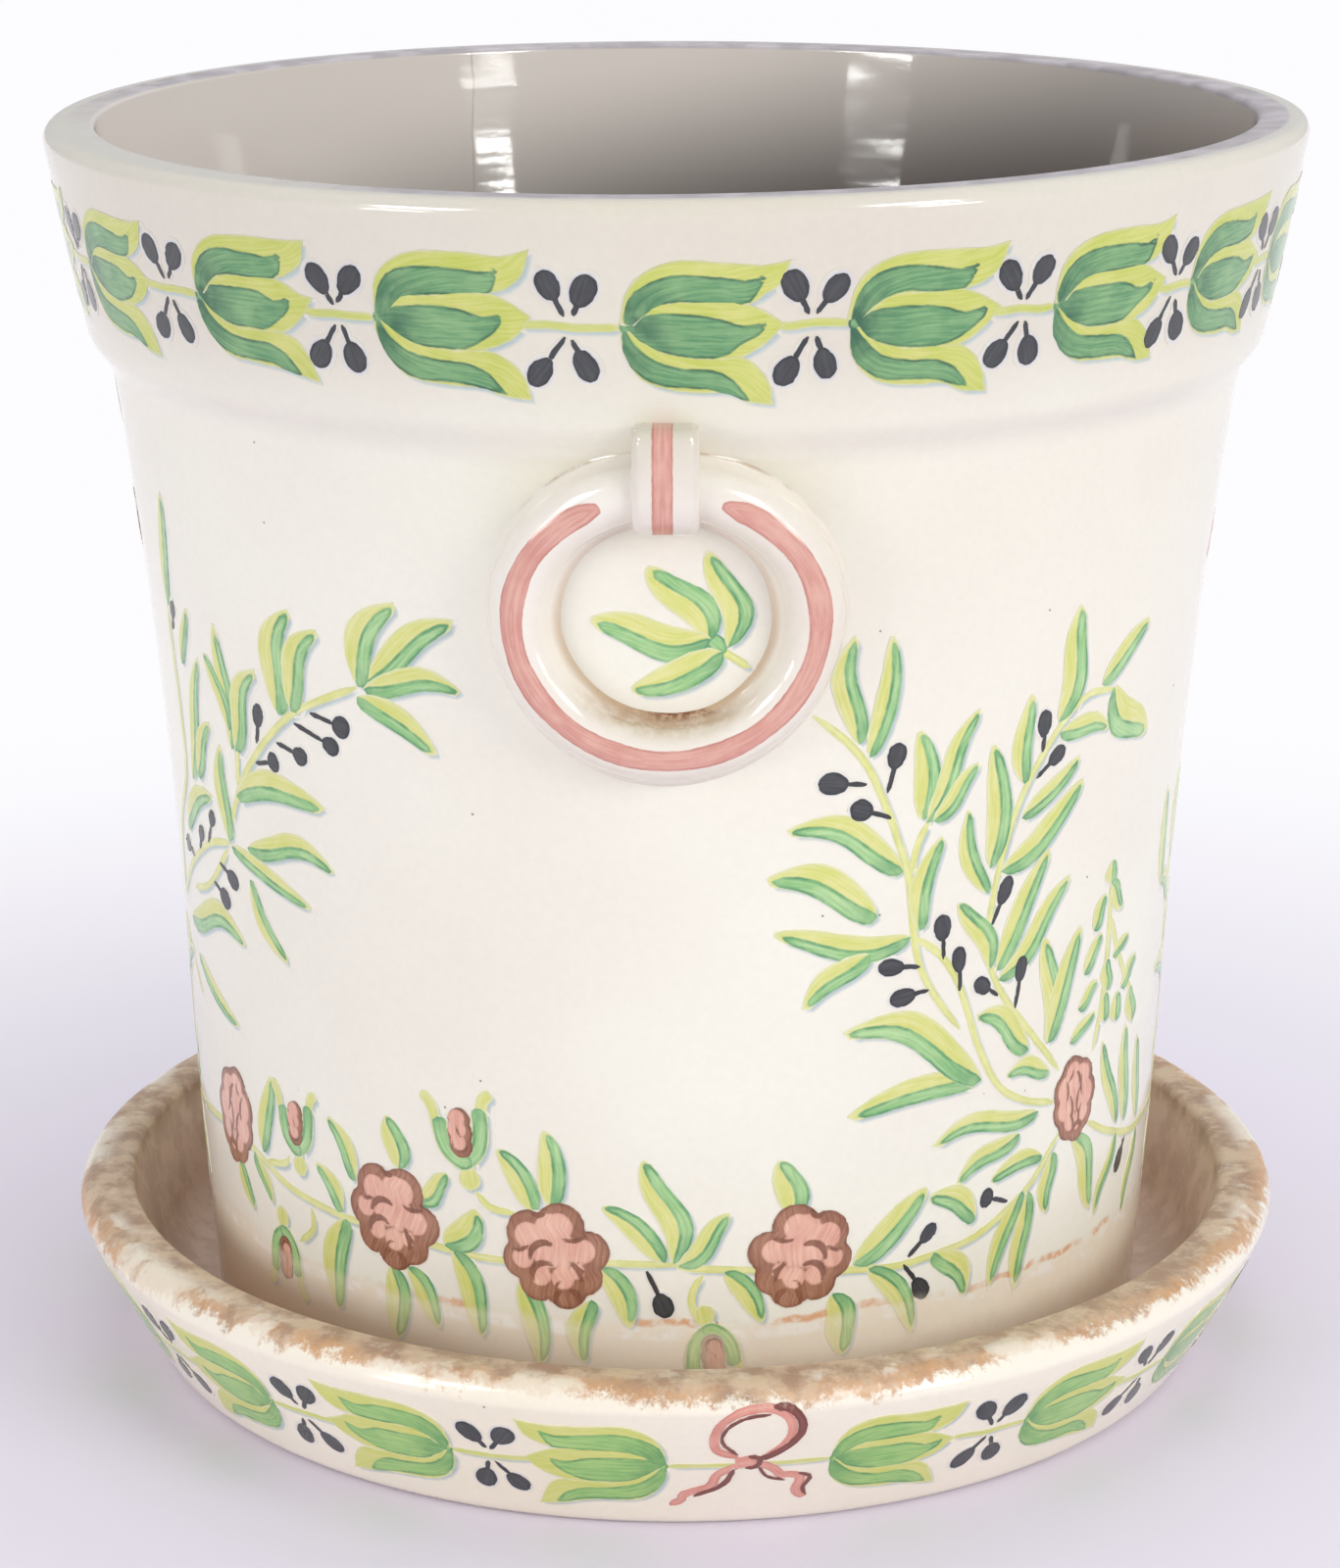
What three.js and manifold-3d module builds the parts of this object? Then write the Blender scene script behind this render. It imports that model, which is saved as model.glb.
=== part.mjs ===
// Glazed earthenware planter with a ring handle front and back, standing in its drip saucer.
// Millimetres, +Z up. The origin is on the axis, at the level of the ground under the saucer.
// The front ring faces -Y.

import * as THREE from 'three';
import { mergeVertices } from 'three/addons/utils/BufferGeometryUtils.js';
import Module from 'manifold-3d';

// Saucer
const SAUCER_HEIGHT = 49;
const SAUCER_RADIUS = 176.5;
const SAUCER_RIM_WIDTH = 16;
const SAUCER_RIM_ROUND = 7;
const SAUCER_RIM_INNER_ROUND = 3;
const SAUCER_FOOT_RADIUS = 154.5;
const SAUCER_FOOT_ROUND = 3;
const SAUCER_FLOOR = 10;
const SAUCER_WALL = 11;
const SAUCER_COVE = 9;

// Pot
const POT_HEIGHT = 347;
const POT_SEAT_GAP = 0.3;
const RIM_RADIUS = 175;
const RIM_WALL = 14.2;
const RIM_OUTER_ROUND = 3.6;
const RIM_INNER_ROUND = 1.5;
const COLLAR_HEIGHT = 56.5;
const COLLAR_FOOT_RADIUS = 165;
const COLLAR_BULGE = 0.5;
const COLLAR_STEP_DROP = 14.5;
const COLLAR_STEP_LEAN = 1.1;
const NECK_RADIUS = 157.8;
const NECK_LEAN = 0.7;
const BODY_SWELL = 7.8;
const BODY_WAIST = 16.6;
const FOOT_RADIUS = 136.3;
const FOOT_ROUND = 4;
const FOOT_RING_WIDTH = 14;
const FOOT_RECESS = 3;
const POT_FLOOR = 14;
const POT_WALL = 11.5;
const POT_COVE = 15;
const DRAIN_RADIUS = 14;

// Ring handle and its strap
const RING_HALF_WIDTH = 36.3;
const RING_HALF_HEIGHT = 34.9;
const RING_DROP = 108.2;
const RING_TUBE_RADIUS = 7.5;
const RING_STAND_OFF = 4.5;
const STRAP_WIDTH = 16.8;
const STRAP_THICKNESS = 3.3;
const STRAP_RISE = 0.8;
const STRAP_SHOULDER_ROUND = 4;
const STRAP_EDGE_ROUND = 2.4;
const JOIN_GAP = 0.3;

// Shares of a curve's height at which its handles pull
const SWELL_SHARE = 0.34;
const WAIST_SHARE = 0.565;
const NECK_SHARE = 0.52;
const STEP_SHARE = 0.38;
const SAUCER_BULGE_SHARE = 1.4;
const FOOT_EASE_SHARE = 1.3;

// Steps of the round surfaces
const LATHE_STEPS = 72;
const WALL_STEPS = 7;
const RING_STEPS = 48;
const RING_SECTION_STEPS = 12;

// Heights that follow from the sizes above
const potFoot = SAUCER_FLOOR + POT_SEAT_GAP;
const rimTop = potFoot + POT_HEIGHT;
const collarFoot = rimTop - COLLAR_HEIGHT;
const neckTop = collarFoot - COLLAR_STEP_DROP;
const ringCentre = rimTop - RING_DROP;

const CREAM = '#efe9dc';
const SAUCER_CREAM = '#ece6da';

function glaze(color) {
  return new THREE.MeshStandardMaterial({ color, roughness: 0.18, metalness: 0 });
}

// The body's outer line, from just over the foot to the neck under the collar. It swells low down,
// runs nearly straight and flares out again at the top.
const bodyLine = new THREE.CubicBezierCurve(
  new THREE.Vector2(FOOT_RADIUS, potFoot + FOOT_ROUND),
  new THREE.Vector2(FOOT_RADIUS + BODY_SWELL, potFoot + (neckTop - potFoot) * SWELL_SHARE),
  new THREE.Vector2(NECK_RADIUS - BODY_WAIST, potFoot + (neckTop - potFoot) * WAIST_SHARE),
  new THREE.Vector2(NECK_RADIUS, neckTop),
);

// Outer radius of the body at a height, found by halving the curve's parameter range.
function bodyRadius(height) {
  let low = 0;
  let high = 1;
  for (let i = 0; i < 40; i += 1) {
    const middle = (low + high) / 2;
    if (bodyLine.getPoint(middle).y < height) {
      low = middle;
    } else {
      high = middle;
    }
  }
  return bodyLine.getPoint(low).x;
}

// Points of a path whose stretches each have their own number of steps. The joints of no length that
// an arc can leave before itself are passed over.
function samplePath(path, steps) {
  const stretches = path.curves.filter((curve) => curve.getLength() > 1e-6);
  const points = [stretches[0].getPoint(0)];
  stretches.forEach((curve, index) => {
    const count = steps[index];
    for (let i = 1; i <= count; i += 1) {
      points.push(curve.getPoint(i / count));
    }
  });
  return points;
}

function lathe(points) {
  const geometry = new THREE.LatheGeometry(points, LATHE_STEPS);
  geometry.rotateX(Math.PI / 2);
  return geometry;
}

// The pot's outer line, from the foot to the rim, grown outward by a clearance.
function outerPoints(clearance) {
  const rimShoulder = rimTop - RIM_OUTER_ROUND;
  const foot = new THREE.Path();
  foot.absarc(FOOT_RADIUS - FOOT_ROUND, potFoot + FOOT_ROUND, FOOT_ROUND, -Math.PI / 2, 0, false);
  const collar = new THREE.Path();
  collar.moveTo(NECK_RADIUS, neckTop);
  collar.bezierCurveTo(
    NECK_RADIUS + NECK_LEAN, neckTop + COLLAR_STEP_DROP * NECK_SHARE,
    COLLAR_FOOT_RADIUS - COLLAR_STEP_LEAN, collarFoot - COLLAR_STEP_DROP * STEP_SHARE,
    COLLAR_FOOT_RADIUS, collarFoot,
  );
  collar.quadraticCurveTo(
    (COLLAR_FOOT_RADIUS + RIM_RADIUS) / 2 + COLLAR_BULGE, (collarFoot + rimShoulder) / 2,
    RIM_RADIUS, rimShoulder,
  );
  collar.absarc(RIM_RADIUS - RIM_OUTER_ROUND, rimShoulder, RIM_OUTER_ROUND, 0, Math.PI / 2, false);
  const points = [
    ...samplePath(foot, [2]),
    ...bodyLine.getPoints(11).slice(1, -1),
    ...samplePath(collar, [6, 4, 4]),
  ];
  return points.map((point) => new THREE.Vector2(point.x + clearance, point.y));
}

// The inner line, from the rim down to the floor, the drain hole and the underside's recess. Below
// the collar it keeps the wall's thickness inside the body's outer line.
function innerPoints() {
  const rimInner = RIM_RADIUS - RIM_WALL;
  const throat = COLLAR_FOOT_RADIUS - RIM_WALL;
  const throatLean = (rimInner - throat) / (rimTop - RIM_INNER_ROUND - collarFoot);
  const neck = neckTop - COLLAR_STEP_DROP;
  const floorTop = potFoot + POT_FLOOR;
  const coveTop = floorTop + POT_COVE;
  const mouth = new THREE.Path();
  mouth.absarc(
    rimInner + RIM_INNER_ROUND, rimTop - RIM_INNER_ROUND, RIM_INNER_ROUND, Math.PI / 2, Math.PI, false,
  );
  mouth.lineTo(throat, collarFoot);
  mouth.quadraticCurveTo(
    throat - throatLean * COLLAR_STEP_DROP, neckTop,
    bodyRadius(neck) - POT_WALL, neck,
  );
  const wall = [];
  for (let i = 1; i < WALL_STEPS; i += 1) {
    const height = THREE.MathUtils.lerp(neck, coveTop, i / WALL_STEPS);
    wall.push(new THREE.Vector2(bodyRadius(height) - POT_WALL, height));
  }
  const floorRadius = bodyRadius(coveTop) - POT_WALL;
  const floor = new THREE.Path();
  floor.moveTo(floorRadius, coveTop);
  floor.quadraticCurveTo(floorRadius, floorTop, floorRadius - POT_COVE, floorTop);
  floor.lineTo(DRAIN_RADIUS, floorTop);
  floor.lineTo(DRAIN_RADIUS, potFoot + FOOT_RECESS);
  floor.lineTo(FOOT_RADIUS - FOOT_RING_WIDTH - FOOT_RECESS, potFoot + FOOT_RECESS);
  floor.lineTo(FOOT_RADIUS - FOOT_RING_WIDTH, potFoot);
  return [...samplePath(mouth, [2, 3, 4]), ...wall, ...samplePath(floor, [4, 1, 1, 1, 1])];
}

function potGeometry() {
  const outline = [...outerPoints(0), ...innerPoints()];
  outline.push(outline[0].clone());
  return lathe(outline);
}

// The saucer's section runs from the axis along the underside, up the sloping wall, over the rolled
// rim, down the inside and back to the axis along the floor.
function saucerGeometry() {
  const rimInner = SAUCER_RADIUS - SAUCER_RIM_WIDTH;
  const rollCentre = SAUCER_HEIGHT - SAUCER_RIM_ROUND;
  const wallLean = (SAUCER_RADIUS - SAUCER_FOOT_RADIUS) / rollCentre;
  const innerFloor = SAUCER_FOOT_RADIUS - SAUCER_WALL + wallLean * SAUCER_FLOOR;
  const easeTop = SAUCER_FOOT_ROUND * FOOT_EASE_SHARE;
  const path = new THREE.Path();
  path.moveTo(0, 0);
  path.lineTo(SAUCER_FOOT_RADIUS - SAUCER_FOOT_ROUND, 0);
  path.quadraticCurveTo(
    SAUCER_FOOT_RADIUS, 0,
    SAUCER_FOOT_RADIUS + wallLean * easeTop, easeTop,
  );
  path.quadraticCurveTo(
    SAUCER_RADIUS - wallLean * SAUCER_RIM_ROUND, rollCentre - SAUCER_RIM_ROUND * SAUCER_BULGE_SHARE,
    SAUCER_RADIUS, rollCentre,
  );
  path.absarc(SAUCER_RADIUS - SAUCER_RIM_ROUND, rollCentre, SAUCER_RIM_ROUND, 0, Math.PI / 2, false);
  path.lineTo(rimInner + SAUCER_RIM_INNER_ROUND, SAUCER_HEIGHT);
  path.absarc(
    rimInner + SAUCER_RIM_INNER_ROUND, SAUCER_HEIGHT - SAUCER_RIM_INNER_ROUND,
    SAUCER_RIM_INNER_ROUND, Math.PI / 2, Math.PI, false,
  );
  path.lineTo(innerFloor + wallLean * SAUCER_COVE, SAUCER_FLOOR + SAUCER_COVE);
  path.quadraticCurveTo(innerFloor, SAUCER_FLOOR, innerFloor - SAUCER_COVE, SAUCER_FLOOR);
  path.lineTo(0, SAUCER_FLOOR);
  return lathe(samplePath(path, [1, 2, 5, 5, 1, 3, 2, 4, 1]));
}

const wasm = await Module();
wasm.setup();

function toSolid(geometry) {
  const bare = geometry.clone();
  bare.deleteAttribute('normal');
  bare.deleteAttribute('uv');
  const merged = mergeVertices(bare, 1e-3);
  const mesh = new wasm.Mesh({
    numProp: 3,
    vertProperties: new Float32Array(merged.attributes.position.array),
    triVerts: new Uint32Array(merged.index.array),
  });
  return new wasm.Manifold(mesh);
}

function toGeometry(solid) {
  const mesh = solid.getMesh();
  const geometry = new THREE.BufferGeometry();
  geometry.setAttribute('position', new THREE.BufferAttribute(mesh.vertProperties, 3));
  geometry.setIndex(new THREE.BufferAttribute(mesh.triVerts, 1));
  geometry.computeVertexNormals();
  return geometry;
}

// Everything that the pot's outside fills, grown by the joining gap. It trims what lies on the wall.
const wallCutter = toSolid(lathe([
  new THREE.Vector2(0, potFoot),
  ...outerPoints(JOIN_GAP),
  new THREE.Vector2(0, rimTop),
]));

// The ring's centre line: an oval laid on the body's wall and held off it by a constant distance.
class RingLine extends THREE.Curve {
  getPoint(t, target = new THREE.Vector3()) {
    const turn = 2 * Math.PI * t;
    const height = ringCentre + RING_HALF_HEIGHT * Math.sin(turn);
    const around = RING_HALF_WIDTH * Math.cos(turn) / bodyRadius(ringCentre);
    const radius = bodyRadius(height) + RING_STAND_OFF;
    return target.set(radius * Math.sin(around), -radius * Math.cos(around), height);
  }
}

function ringTube(radius) {
  return new THREE.TubeGeometry(new RingLine(), RING_STEPS, radius, RING_SECTION_STEPS, true);
}

function ringGeometry() {
  return toGeometry(toSolid(ringTube(RING_TUBE_RADIUS)).subtract(wallCutter));
}

// The strap leaves the collar's lower edge, lies over the ring's top and curls in under it. Its side
// outline is drawn as distance from the pot's axis against height, and extruded across its width.
function strapGeometry() {
  const top = ringCentre + RING_HALF_HEIGHT;
  const core = bodyRadius(top) + RING_STAND_OFF;
  const bend = RING_TUBE_RADIUS + STRAP_THICKNESS;
  const shelf = collarFoot + STRAP_RISE;
  const buried = core - 2 * bend;
  const shoulder = shelf - STRAP_SHOULDER_ROUND;
  const outline = new THREE.Path();
  outline.moveTo(buried, top - bend);
  outline.lineTo(core, top - bend);
  outline.absarc(core, top, bend, -Math.PI / 2, 0, false);
  outline.lineTo(core + bend, shoulder);
  outline.absarc(
    core + bend - STRAP_SHOULDER_ROUND, shoulder, STRAP_SHOULDER_ROUND, 0, Math.PI / 2, false,
  );
  outline.lineTo(buried, shelf);
  const side = new THREE.Shape(samplePath(outline, [1, 8, 1, 4, 1]));
  const geometry = new THREE.ExtrudeGeometry(side, {
    depth: STRAP_WIDTH - 2 * STRAP_EDGE_ROUND,
    bevelSize: STRAP_EDGE_ROUND,
    bevelThickness: STRAP_EDGE_ROUND,
    bevelOffset: -STRAP_EDGE_ROUND,
    bevelSegments: 3,
  });
  geometry.translate(0, 0, STRAP_EDGE_ROUND - STRAP_WIDTH / 2);
  const facing = new THREE.Matrix4().makeBasis(
    new THREE.Vector3(0, -1, 0),
    new THREE.Vector3(0, 0, 1),
    new THREE.Vector3(-1, 0, 0),
  );
  geometry.applyMatrix4(facing);
  const ringWithGap = toSolid(ringTube(RING_TUBE_RADIUS + JOIN_GAP));
  return toGeometry(toSolid(geometry).subtract(wallCutter).subtract(ringWithGap));
}

const part = new THREE.Group();

function add(name, geometry, color, turn = 0) {
  const mesh = new THREE.Mesh(geometry, glaze(color));
  mesh.name = name;
  mesh.rotation.z = turn;
  part.add(mesh);
}

add('saucer', saucerGeometry(), SAUCER_CREAM);
add('pot', potGeometry(), CREAM);
const ring = ringGeometry();
const strap = strapGeometry();
add('ring_handle_front', ring, CREAM);
add('ring_handle_back', ring, CREAM, Math.PI);
add('ring_strap_front', strap, CREAM);
add('ring_strap_back', strap, CREAM, Math.PI);

export default part;
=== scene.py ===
"""Hand-painted earthenware planter with a ring front and back, standing in its drip saucer."""

import math

import bpy
import numpy as np
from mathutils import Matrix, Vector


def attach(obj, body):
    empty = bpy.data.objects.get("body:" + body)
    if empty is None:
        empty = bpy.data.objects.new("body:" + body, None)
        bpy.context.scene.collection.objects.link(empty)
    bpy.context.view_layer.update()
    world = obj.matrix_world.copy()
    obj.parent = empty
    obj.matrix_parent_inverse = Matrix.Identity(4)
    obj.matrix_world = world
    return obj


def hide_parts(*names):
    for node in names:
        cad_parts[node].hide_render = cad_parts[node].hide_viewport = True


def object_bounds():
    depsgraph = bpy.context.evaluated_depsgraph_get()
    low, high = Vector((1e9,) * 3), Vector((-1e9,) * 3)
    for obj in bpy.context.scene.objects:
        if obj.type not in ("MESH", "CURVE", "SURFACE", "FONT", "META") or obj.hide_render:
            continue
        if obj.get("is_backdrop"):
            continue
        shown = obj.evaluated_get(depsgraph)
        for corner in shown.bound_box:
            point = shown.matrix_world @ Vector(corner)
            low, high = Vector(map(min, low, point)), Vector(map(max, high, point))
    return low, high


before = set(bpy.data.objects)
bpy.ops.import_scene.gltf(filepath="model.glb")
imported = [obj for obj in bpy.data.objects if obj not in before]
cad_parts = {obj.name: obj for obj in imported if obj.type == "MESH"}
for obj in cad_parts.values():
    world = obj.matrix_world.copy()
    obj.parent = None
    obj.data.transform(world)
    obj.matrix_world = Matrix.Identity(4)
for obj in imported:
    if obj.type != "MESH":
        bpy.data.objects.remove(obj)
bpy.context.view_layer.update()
scene = bpy.context.scene

# The view. The planter is seen from a little above its rim through a long lens, a hand's breadth
# less than 1.2 m from its axis, with the front ring turned slightly to the left.
VIEW_DISTANCE = 1.18343
VIEW_HEIGHT = 0.50649
VIEW_TURN = math.radians(0.88)
VIEW_PITCH = math.radians(16.259)
VIEW_PAN = math.radians(0.083)

camera = bpy.data.objects.new("camera", bpy.data.cameras.new("camera"))
scene.collection.objects.link(camera)
camera.data.lens = 97
camera.data.sensor_width = 36
camera.data.clip_start = 0.05
camera.data.clip_end = 60
camera.location = (
    VIEW_DISTANCE * math.sin(VIEW_TURN),
    -VIEW_DISTANCE * math.cos(VIEW_TURN),
    VIEW_HEIGHT,
)
camera.rotation_euler = (math.pi / 2 - VIEW_PITCH, 0, VIEW_TURN + VIEW_PAN)
scene.camera = camera
scene.view_settings.view_transform = "Standard"


# The studio. Two soft boxes stand in front, the right one stronger, with small bright windows
# beside each, under an even pale room. The floor is a seamless sheet of paper, near white far away;
# nearer the planter its colour is painted darker and faintly lilac, as painted shade.
def linear(code):
    """A colour written as six hexadecimal digits, in Blender's linear values."""
    parts = [int(code[i : i + 2], 16) / 255 for i in (0, 2, 4)]
    parts = [c / 12.92 if c <= 0.04045 else ((c + 0.055) / 1.055) ** 2.4 for c in parts]
    return (*parts, 1.0)


class Output:
    """One output of a node, which sums are written with as with a number."""

    def __init__(self, socket):
        self.socket, self.tree = socket, socket.id_data

    def __getitem__(self, name):
        return Output(self.socket.node.outputs[name])

    def __add__(self, other):
        return reckon("ADD", self, other)

    def __sub__(self, other):
        return reckon("SUBTRACT", self, other)

    def __rsub__(self, other):
        return reckon("SUBTRACT", other, self)

    def __mul__(self, other):
        return reckon("MULTIPLY", self, other)

    def __abs__(self):
        return reckon("ABSOLUTE", self)


def feed(node, inputs):
    """Gives a node its inputs: numbers, colours or other nodes' outputs."""
    for key, value in inputs.items():
        if isinstance(value, Output):
            node.id_data.links.new(value.socket, node.inputs[key])
        else:
            node.inputs[key].default_value = value
    return node


def add_node(tree, kind, inputs=None, **settings):
    """A new node's first output, from which its others are read by name or number."""
    node = tree.nodes.new("ShaderNode" + kind)
    for name, value in settings.items():
        setattr(node, name, value)
    return Output(feed(node, inputs or {}).outputs[0])


def joined(kind, inputs, **settings):
    """A new node in the tree that its inputs come from."""
    tree = next(value.tree for value in inputs.values() if isinstance(value, Output))
    return add_node(tree, kind, inputs, **settings)


def reckon(operation, *values):
    """One Math node's result."""
    return joined("Math", dict(enumerate(values)), operation=operation)


def ease(value, start, end, low=0.0, high=1.0):
    """A smooth rise from low to high while value goes from start to end."""
    inputs = dict(enumerate((value, start, end, low, high)))
    return joined("MapRange", inputs, interpolation_type="SMOOTHSTEP")


def blend(share, first, second, kind="MIX"):
    """Two colours mixed."""
    return joined("Mix", {0: share, 6: first, 7: second}, data_type="RGBA", blend_type=kind)[2]


def new_material(name):
    """A material, its node tree and its Principled shader."""
    material = bpy.data.materials.new(name)
    material.use_nodes = True
    return material, material.node_tree, material.node_tree.nodes["Principled BSDF"]


def position(tree):
    """Where each point of a surface lies, in metres."""
    return add_node(tree, "TexCoord")["Object"]


bpy.ops.object.select_all(action="DESELECT")
bpy.ops.mesh.primitive_circle_add(vertices=96, radius=14, fill_type="NGON")
paper = bpy.context.object
paper.name = "studio_floor"
paper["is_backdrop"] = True
floor_paper, tree, shader = new_material("studio_paper")
paper.data.materials.append(floor_paper)
reach = joined("VectorMath", {0: position(tree)}, operation="LENGTH")["Value"]
# Painted shade: the paper's colour darker and more lilac towards the planter.
tone = blend(ease(reach, 0.3, 1.5), linear("E7DFEE"), linear("EFECF7"))
feed(shader, {"Base Color": tone, "Roughness": 0.9, "Specular IOR Level": 0.1})
glow = add_node(tree, "Emission", {"Color": linear("FDFCFF"), "Strength": 1.0})
ray = add_node(tree, "LightPath")
seen = reckon("MAXIMUM", ray["Is Camera Ray"], ray["Is Glossy Ray"])
seen = reckon("MAXIMUM", seen, ray["Is Transmission Ray"])
far = ease(reach, 0.06, 0.7)
mixed = add_node(tree, "MixShader", {0: far * seen, 1: Output(shader.outputs[0]), 2: glow})
feed(tree.nodes["Material Output"], {"Surface": mixed})

room = bpy.data.worlds.new("room")
scene.world = room
room.use_nodes = True
tree = room.node_tree
sky = feed(tree.nodes["Background"], {"Color": (0.93, 0.955, 0.985, 1), "Strength": 0.58})
backdrop = add_node(tree, "Background", {"Color": (0.97, 0.965, 0.99, 1), "Strength": 1.0})
seen = add_node(tree, "LightPath")["Is Camera Ray"]
mixed = add_node(tree, "MixShader", {0: seen, 1: Output(sky.outputs[0]), 2: backdrop})
feed(tree.nodes["World Output"], {"Surface": mixed})


def soft_box(name, turn, distance, height, width, tall, power, colour, aim):
    """A rectangular lamp that stands at an angle round the planter and faces it."""
    lamp = bpy.data.objects.new(name, bpy.data.lights.new(name, "AREA"))
    scene.collection.objects.link(lamp)
    lamp.data.shape = "RECTANGLE"
    lamp.data.size = width
    lamp.data.size_y = tall
    lamp.data.energy = power
    lamp.data.color = colour
    lamp.visible_camera = False
    angle = math.radians(turn)
    lamp.location = (distance * math.sin(angle), -distance * math.cos(angle), height)
    lamp.rotation_euler = (math.atan2(distance, height - aim), 0, angle)
    return lamp


for name, turn, distance, height, wide, tall, power, colour in (
    ("soft_box_right", 46, 1.5, 0.7, 0.8, 0.6, 9.1, (0.985, 1.0, 0.965)),
    ("soft_box_left", -48, 1.6, 0.36, 0.8, 0.6, 7.2, (0.98, 0.99, 0.975)),
    ("soft_box_above", 42, 0.9, 1.6, 0.8, 0.8, 2.0, (0.97, 1.0, 0.99)),
    ("soft_box_behind", 180, 0.45, 1.6, 1.2, 1.2, 6.5, (1.0, 0.985, 1.0)),
):
    lamp = soft_box(name, turn, distance, height, wide, tall, power, colour, 0.18)
    lamp.visible_glossy = False
for name, turn, height, wide, tall, power in (
    ("window_right_high", 43.5, 0.72, 0.34, 0.006, 0.26),
    ("window_right_low", 44.0, 0.65, 0.24, 0.016, 0.42),
    ("window_left_high", -43.5, 0.718, 0.3, 0.008, 0.4),
    ("window_left_low", -46.0, 0.65, 0.34, 0.012, 0.45),
    ("tall_window_right", 42, 0.98, 0.42, 0.34, 9.5),
    ("tall_window_left", -44, 0.98, 0.42, 0.34, 11.0),
    ("low_window_right", 46, 0.34, 0.3, 0.3, 3.2),
    ("low_window_left", -46, 0.34, 0.3, 0.3, 3.2),
):
    lamp = soft_box(name, turn, 1.5, height, wide, tall, power, (1.0, 1.0, 0.97), 0.33)
    lamp.visible_diffuse = False


# The pot. It is thrown in white-firing earthenware, turned, and dipped whole in an ivory tin glaze.
# Its outline follows the body's slow swell, the hollow under the collar and the square rim.
FOOT_HEIGHT = 10.3
FOOT_RADIUS = 136.3
FOOT_ROUND = 4.0
NECK_HEIGHT = 286.3
COLLAR_FOOT = (165.0, 300.8)
RIM_TOP = 357.3
RIM_RADIUS = 175.0
RIM_ROUND = 3.6
MOUTH_RADIUS = 160.8
EDGE_ROUND = 1.5
THROAT_HEIGHT = 271.8
WALL = 11.5
FLOOR_TOP = 24.3
FLOOR_COVE = 15.0
RECESS_HEIGHT = 13.3
DRAIN_RADIUS = 14.0
BODY_CURVE = ((FOOT_RADIUS, 14.3), (144.1, 104.14), (141.2, 166.24), (157.8, NECK_HEIGHT))
RIM_SAG = 1.15
LATHE_STEPS = 360
WATER_LINE = 0.0515


def arc(centre, radius, start, end, count):
    """Points of an arc, in degrees from the radial direction."""
    turns = np.radians(np.linspace(start, end, count + 1))
    return [(centre[0] + radius * math.cos(a), centre[1] + radius * math.sin(a)) for a in turns]


def curve(handles, count):
    """Points of a Bezier curve with three or four handles."""
    t = np.linspace(0, 1, count + 1)[:, None]
    points = [np.repeat([h], count + 1, axis=0).astype(float) for h in handles]
    while len(points) > 1:
        points = [a * (1 - t) + b * t for a, b in zip(points, points[1:])]
    return [tuple(p) for p in points[0]]


def chain(*stretches):
    """One outline from stretches that may share their end points."""
    outline = []
    for point in (p for stretch in stretches for p in stretch):
        if not outline or math.dist(point, outline[-1]) > 1e-4:
            outline.append(point)
    return outline


rim_edge = (RIM_RADIUS - RIM_ROUND, RIM_TOP - RIM_ROUND)
mouth_edge = (MOUTH_RADIUS + EDGE_ROUND, RIM_TOP - EDGE_ROUND)
pot_outside = chain(
    arc((FOOT_RADIUS - FOOT_ROUND, FOOT_HEIGHT + FOOT_ROUND), FOOT_ROUND, -90, 0, 5),
    curve(BODY_CURVE, 62),
    curve((BODY_CURVE[-1], (158.5, 293.84), (163.9, 295.29), COLLAR_FOOT), 16),
    curve((COLLAR_FOOT, (170.5, 327.25), (RIM_RADIUS, rim_edge[1])), 14),
    arc(rim_edge, RIM_ROUND, 0, 90, 8),
)
outside_radii, outside_heights = np.array(pot_outside).T


def outer_radius(height):
    """The pot's outer radius at a height, in mm."""
    return np.interp(height, outside_heights, outside_radii)


cove_top = FLOOR_TOP + FLOOR_COVE
inner_wall = [(outer_radius(h) - WALL, h) for h in np.linspace(THROAT_HEIGHT, cove_top, 36)]
floor_edge = inner_wall[-1][0]
cove_foot = floor_edge - FLOOR_COVE
drain_edge = DRAIN_RADIUS + EDGE_ROUND
pot_outline = chain(
    pot_outside,
    [(r, RIM_TOP) for r in np.linspace(rim_edge[0], mouth_edge[0], 5)],
    arc(mouth_edge, EDGE_ROUND, 90, 180, 5),
    [(MOUTH_RADIUS - 10 * s, mouth_edge[1] - 55 * s) for s in np.linspace(0, 1, 10)],
    curve(((150.8, 300.8), (148.16, NECK_HEIGHT), inner_wall[0]), 8),
    inner_wall,
    curve(((floor_edge, cove_top), (floor_edge, FLOOR_TOP), (cove_foot, FLOOR_TOP)), 8),
    [(r, FLOOR_TOP) for r in np.linspace(cove_foot, drain_edge, 8)],
    arc((drain_edge, FLOOR_TOP - EDGE_ROUND), EDGE_ROUND, 90, 180, 4),
    [(r, RECESS_HEIGHT) for r in (DRAIN_RADIUS, 66, 119.3)],
    [(122.3, FOOT_HEIGHT)],
)


def settle(points):
    """How the fired pot departs from a true form: a rim that dips and rises by a millimetre."""
    x, y, z = points[:, 0], points[:, 1], points[:, 2]
    share = np.clip((z * 1000 - COLLAR_FOOT[1]) / (RIM_TOP - COLLAR_FOOT[1]), 0, 1)
    rise = RIM_SAG / 1000 * share * (x / 0.175) * (1 - y / 0.175)
    turn = np.arctan2(y, x)
    spread = 1 + 0.0007 * share * np.sin(2 * turn + 0.7) + 0.0004 * np.sin(3 * turn)
    return np.stack([x * spread, y * spread, z + rise], axis=1)


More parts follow.
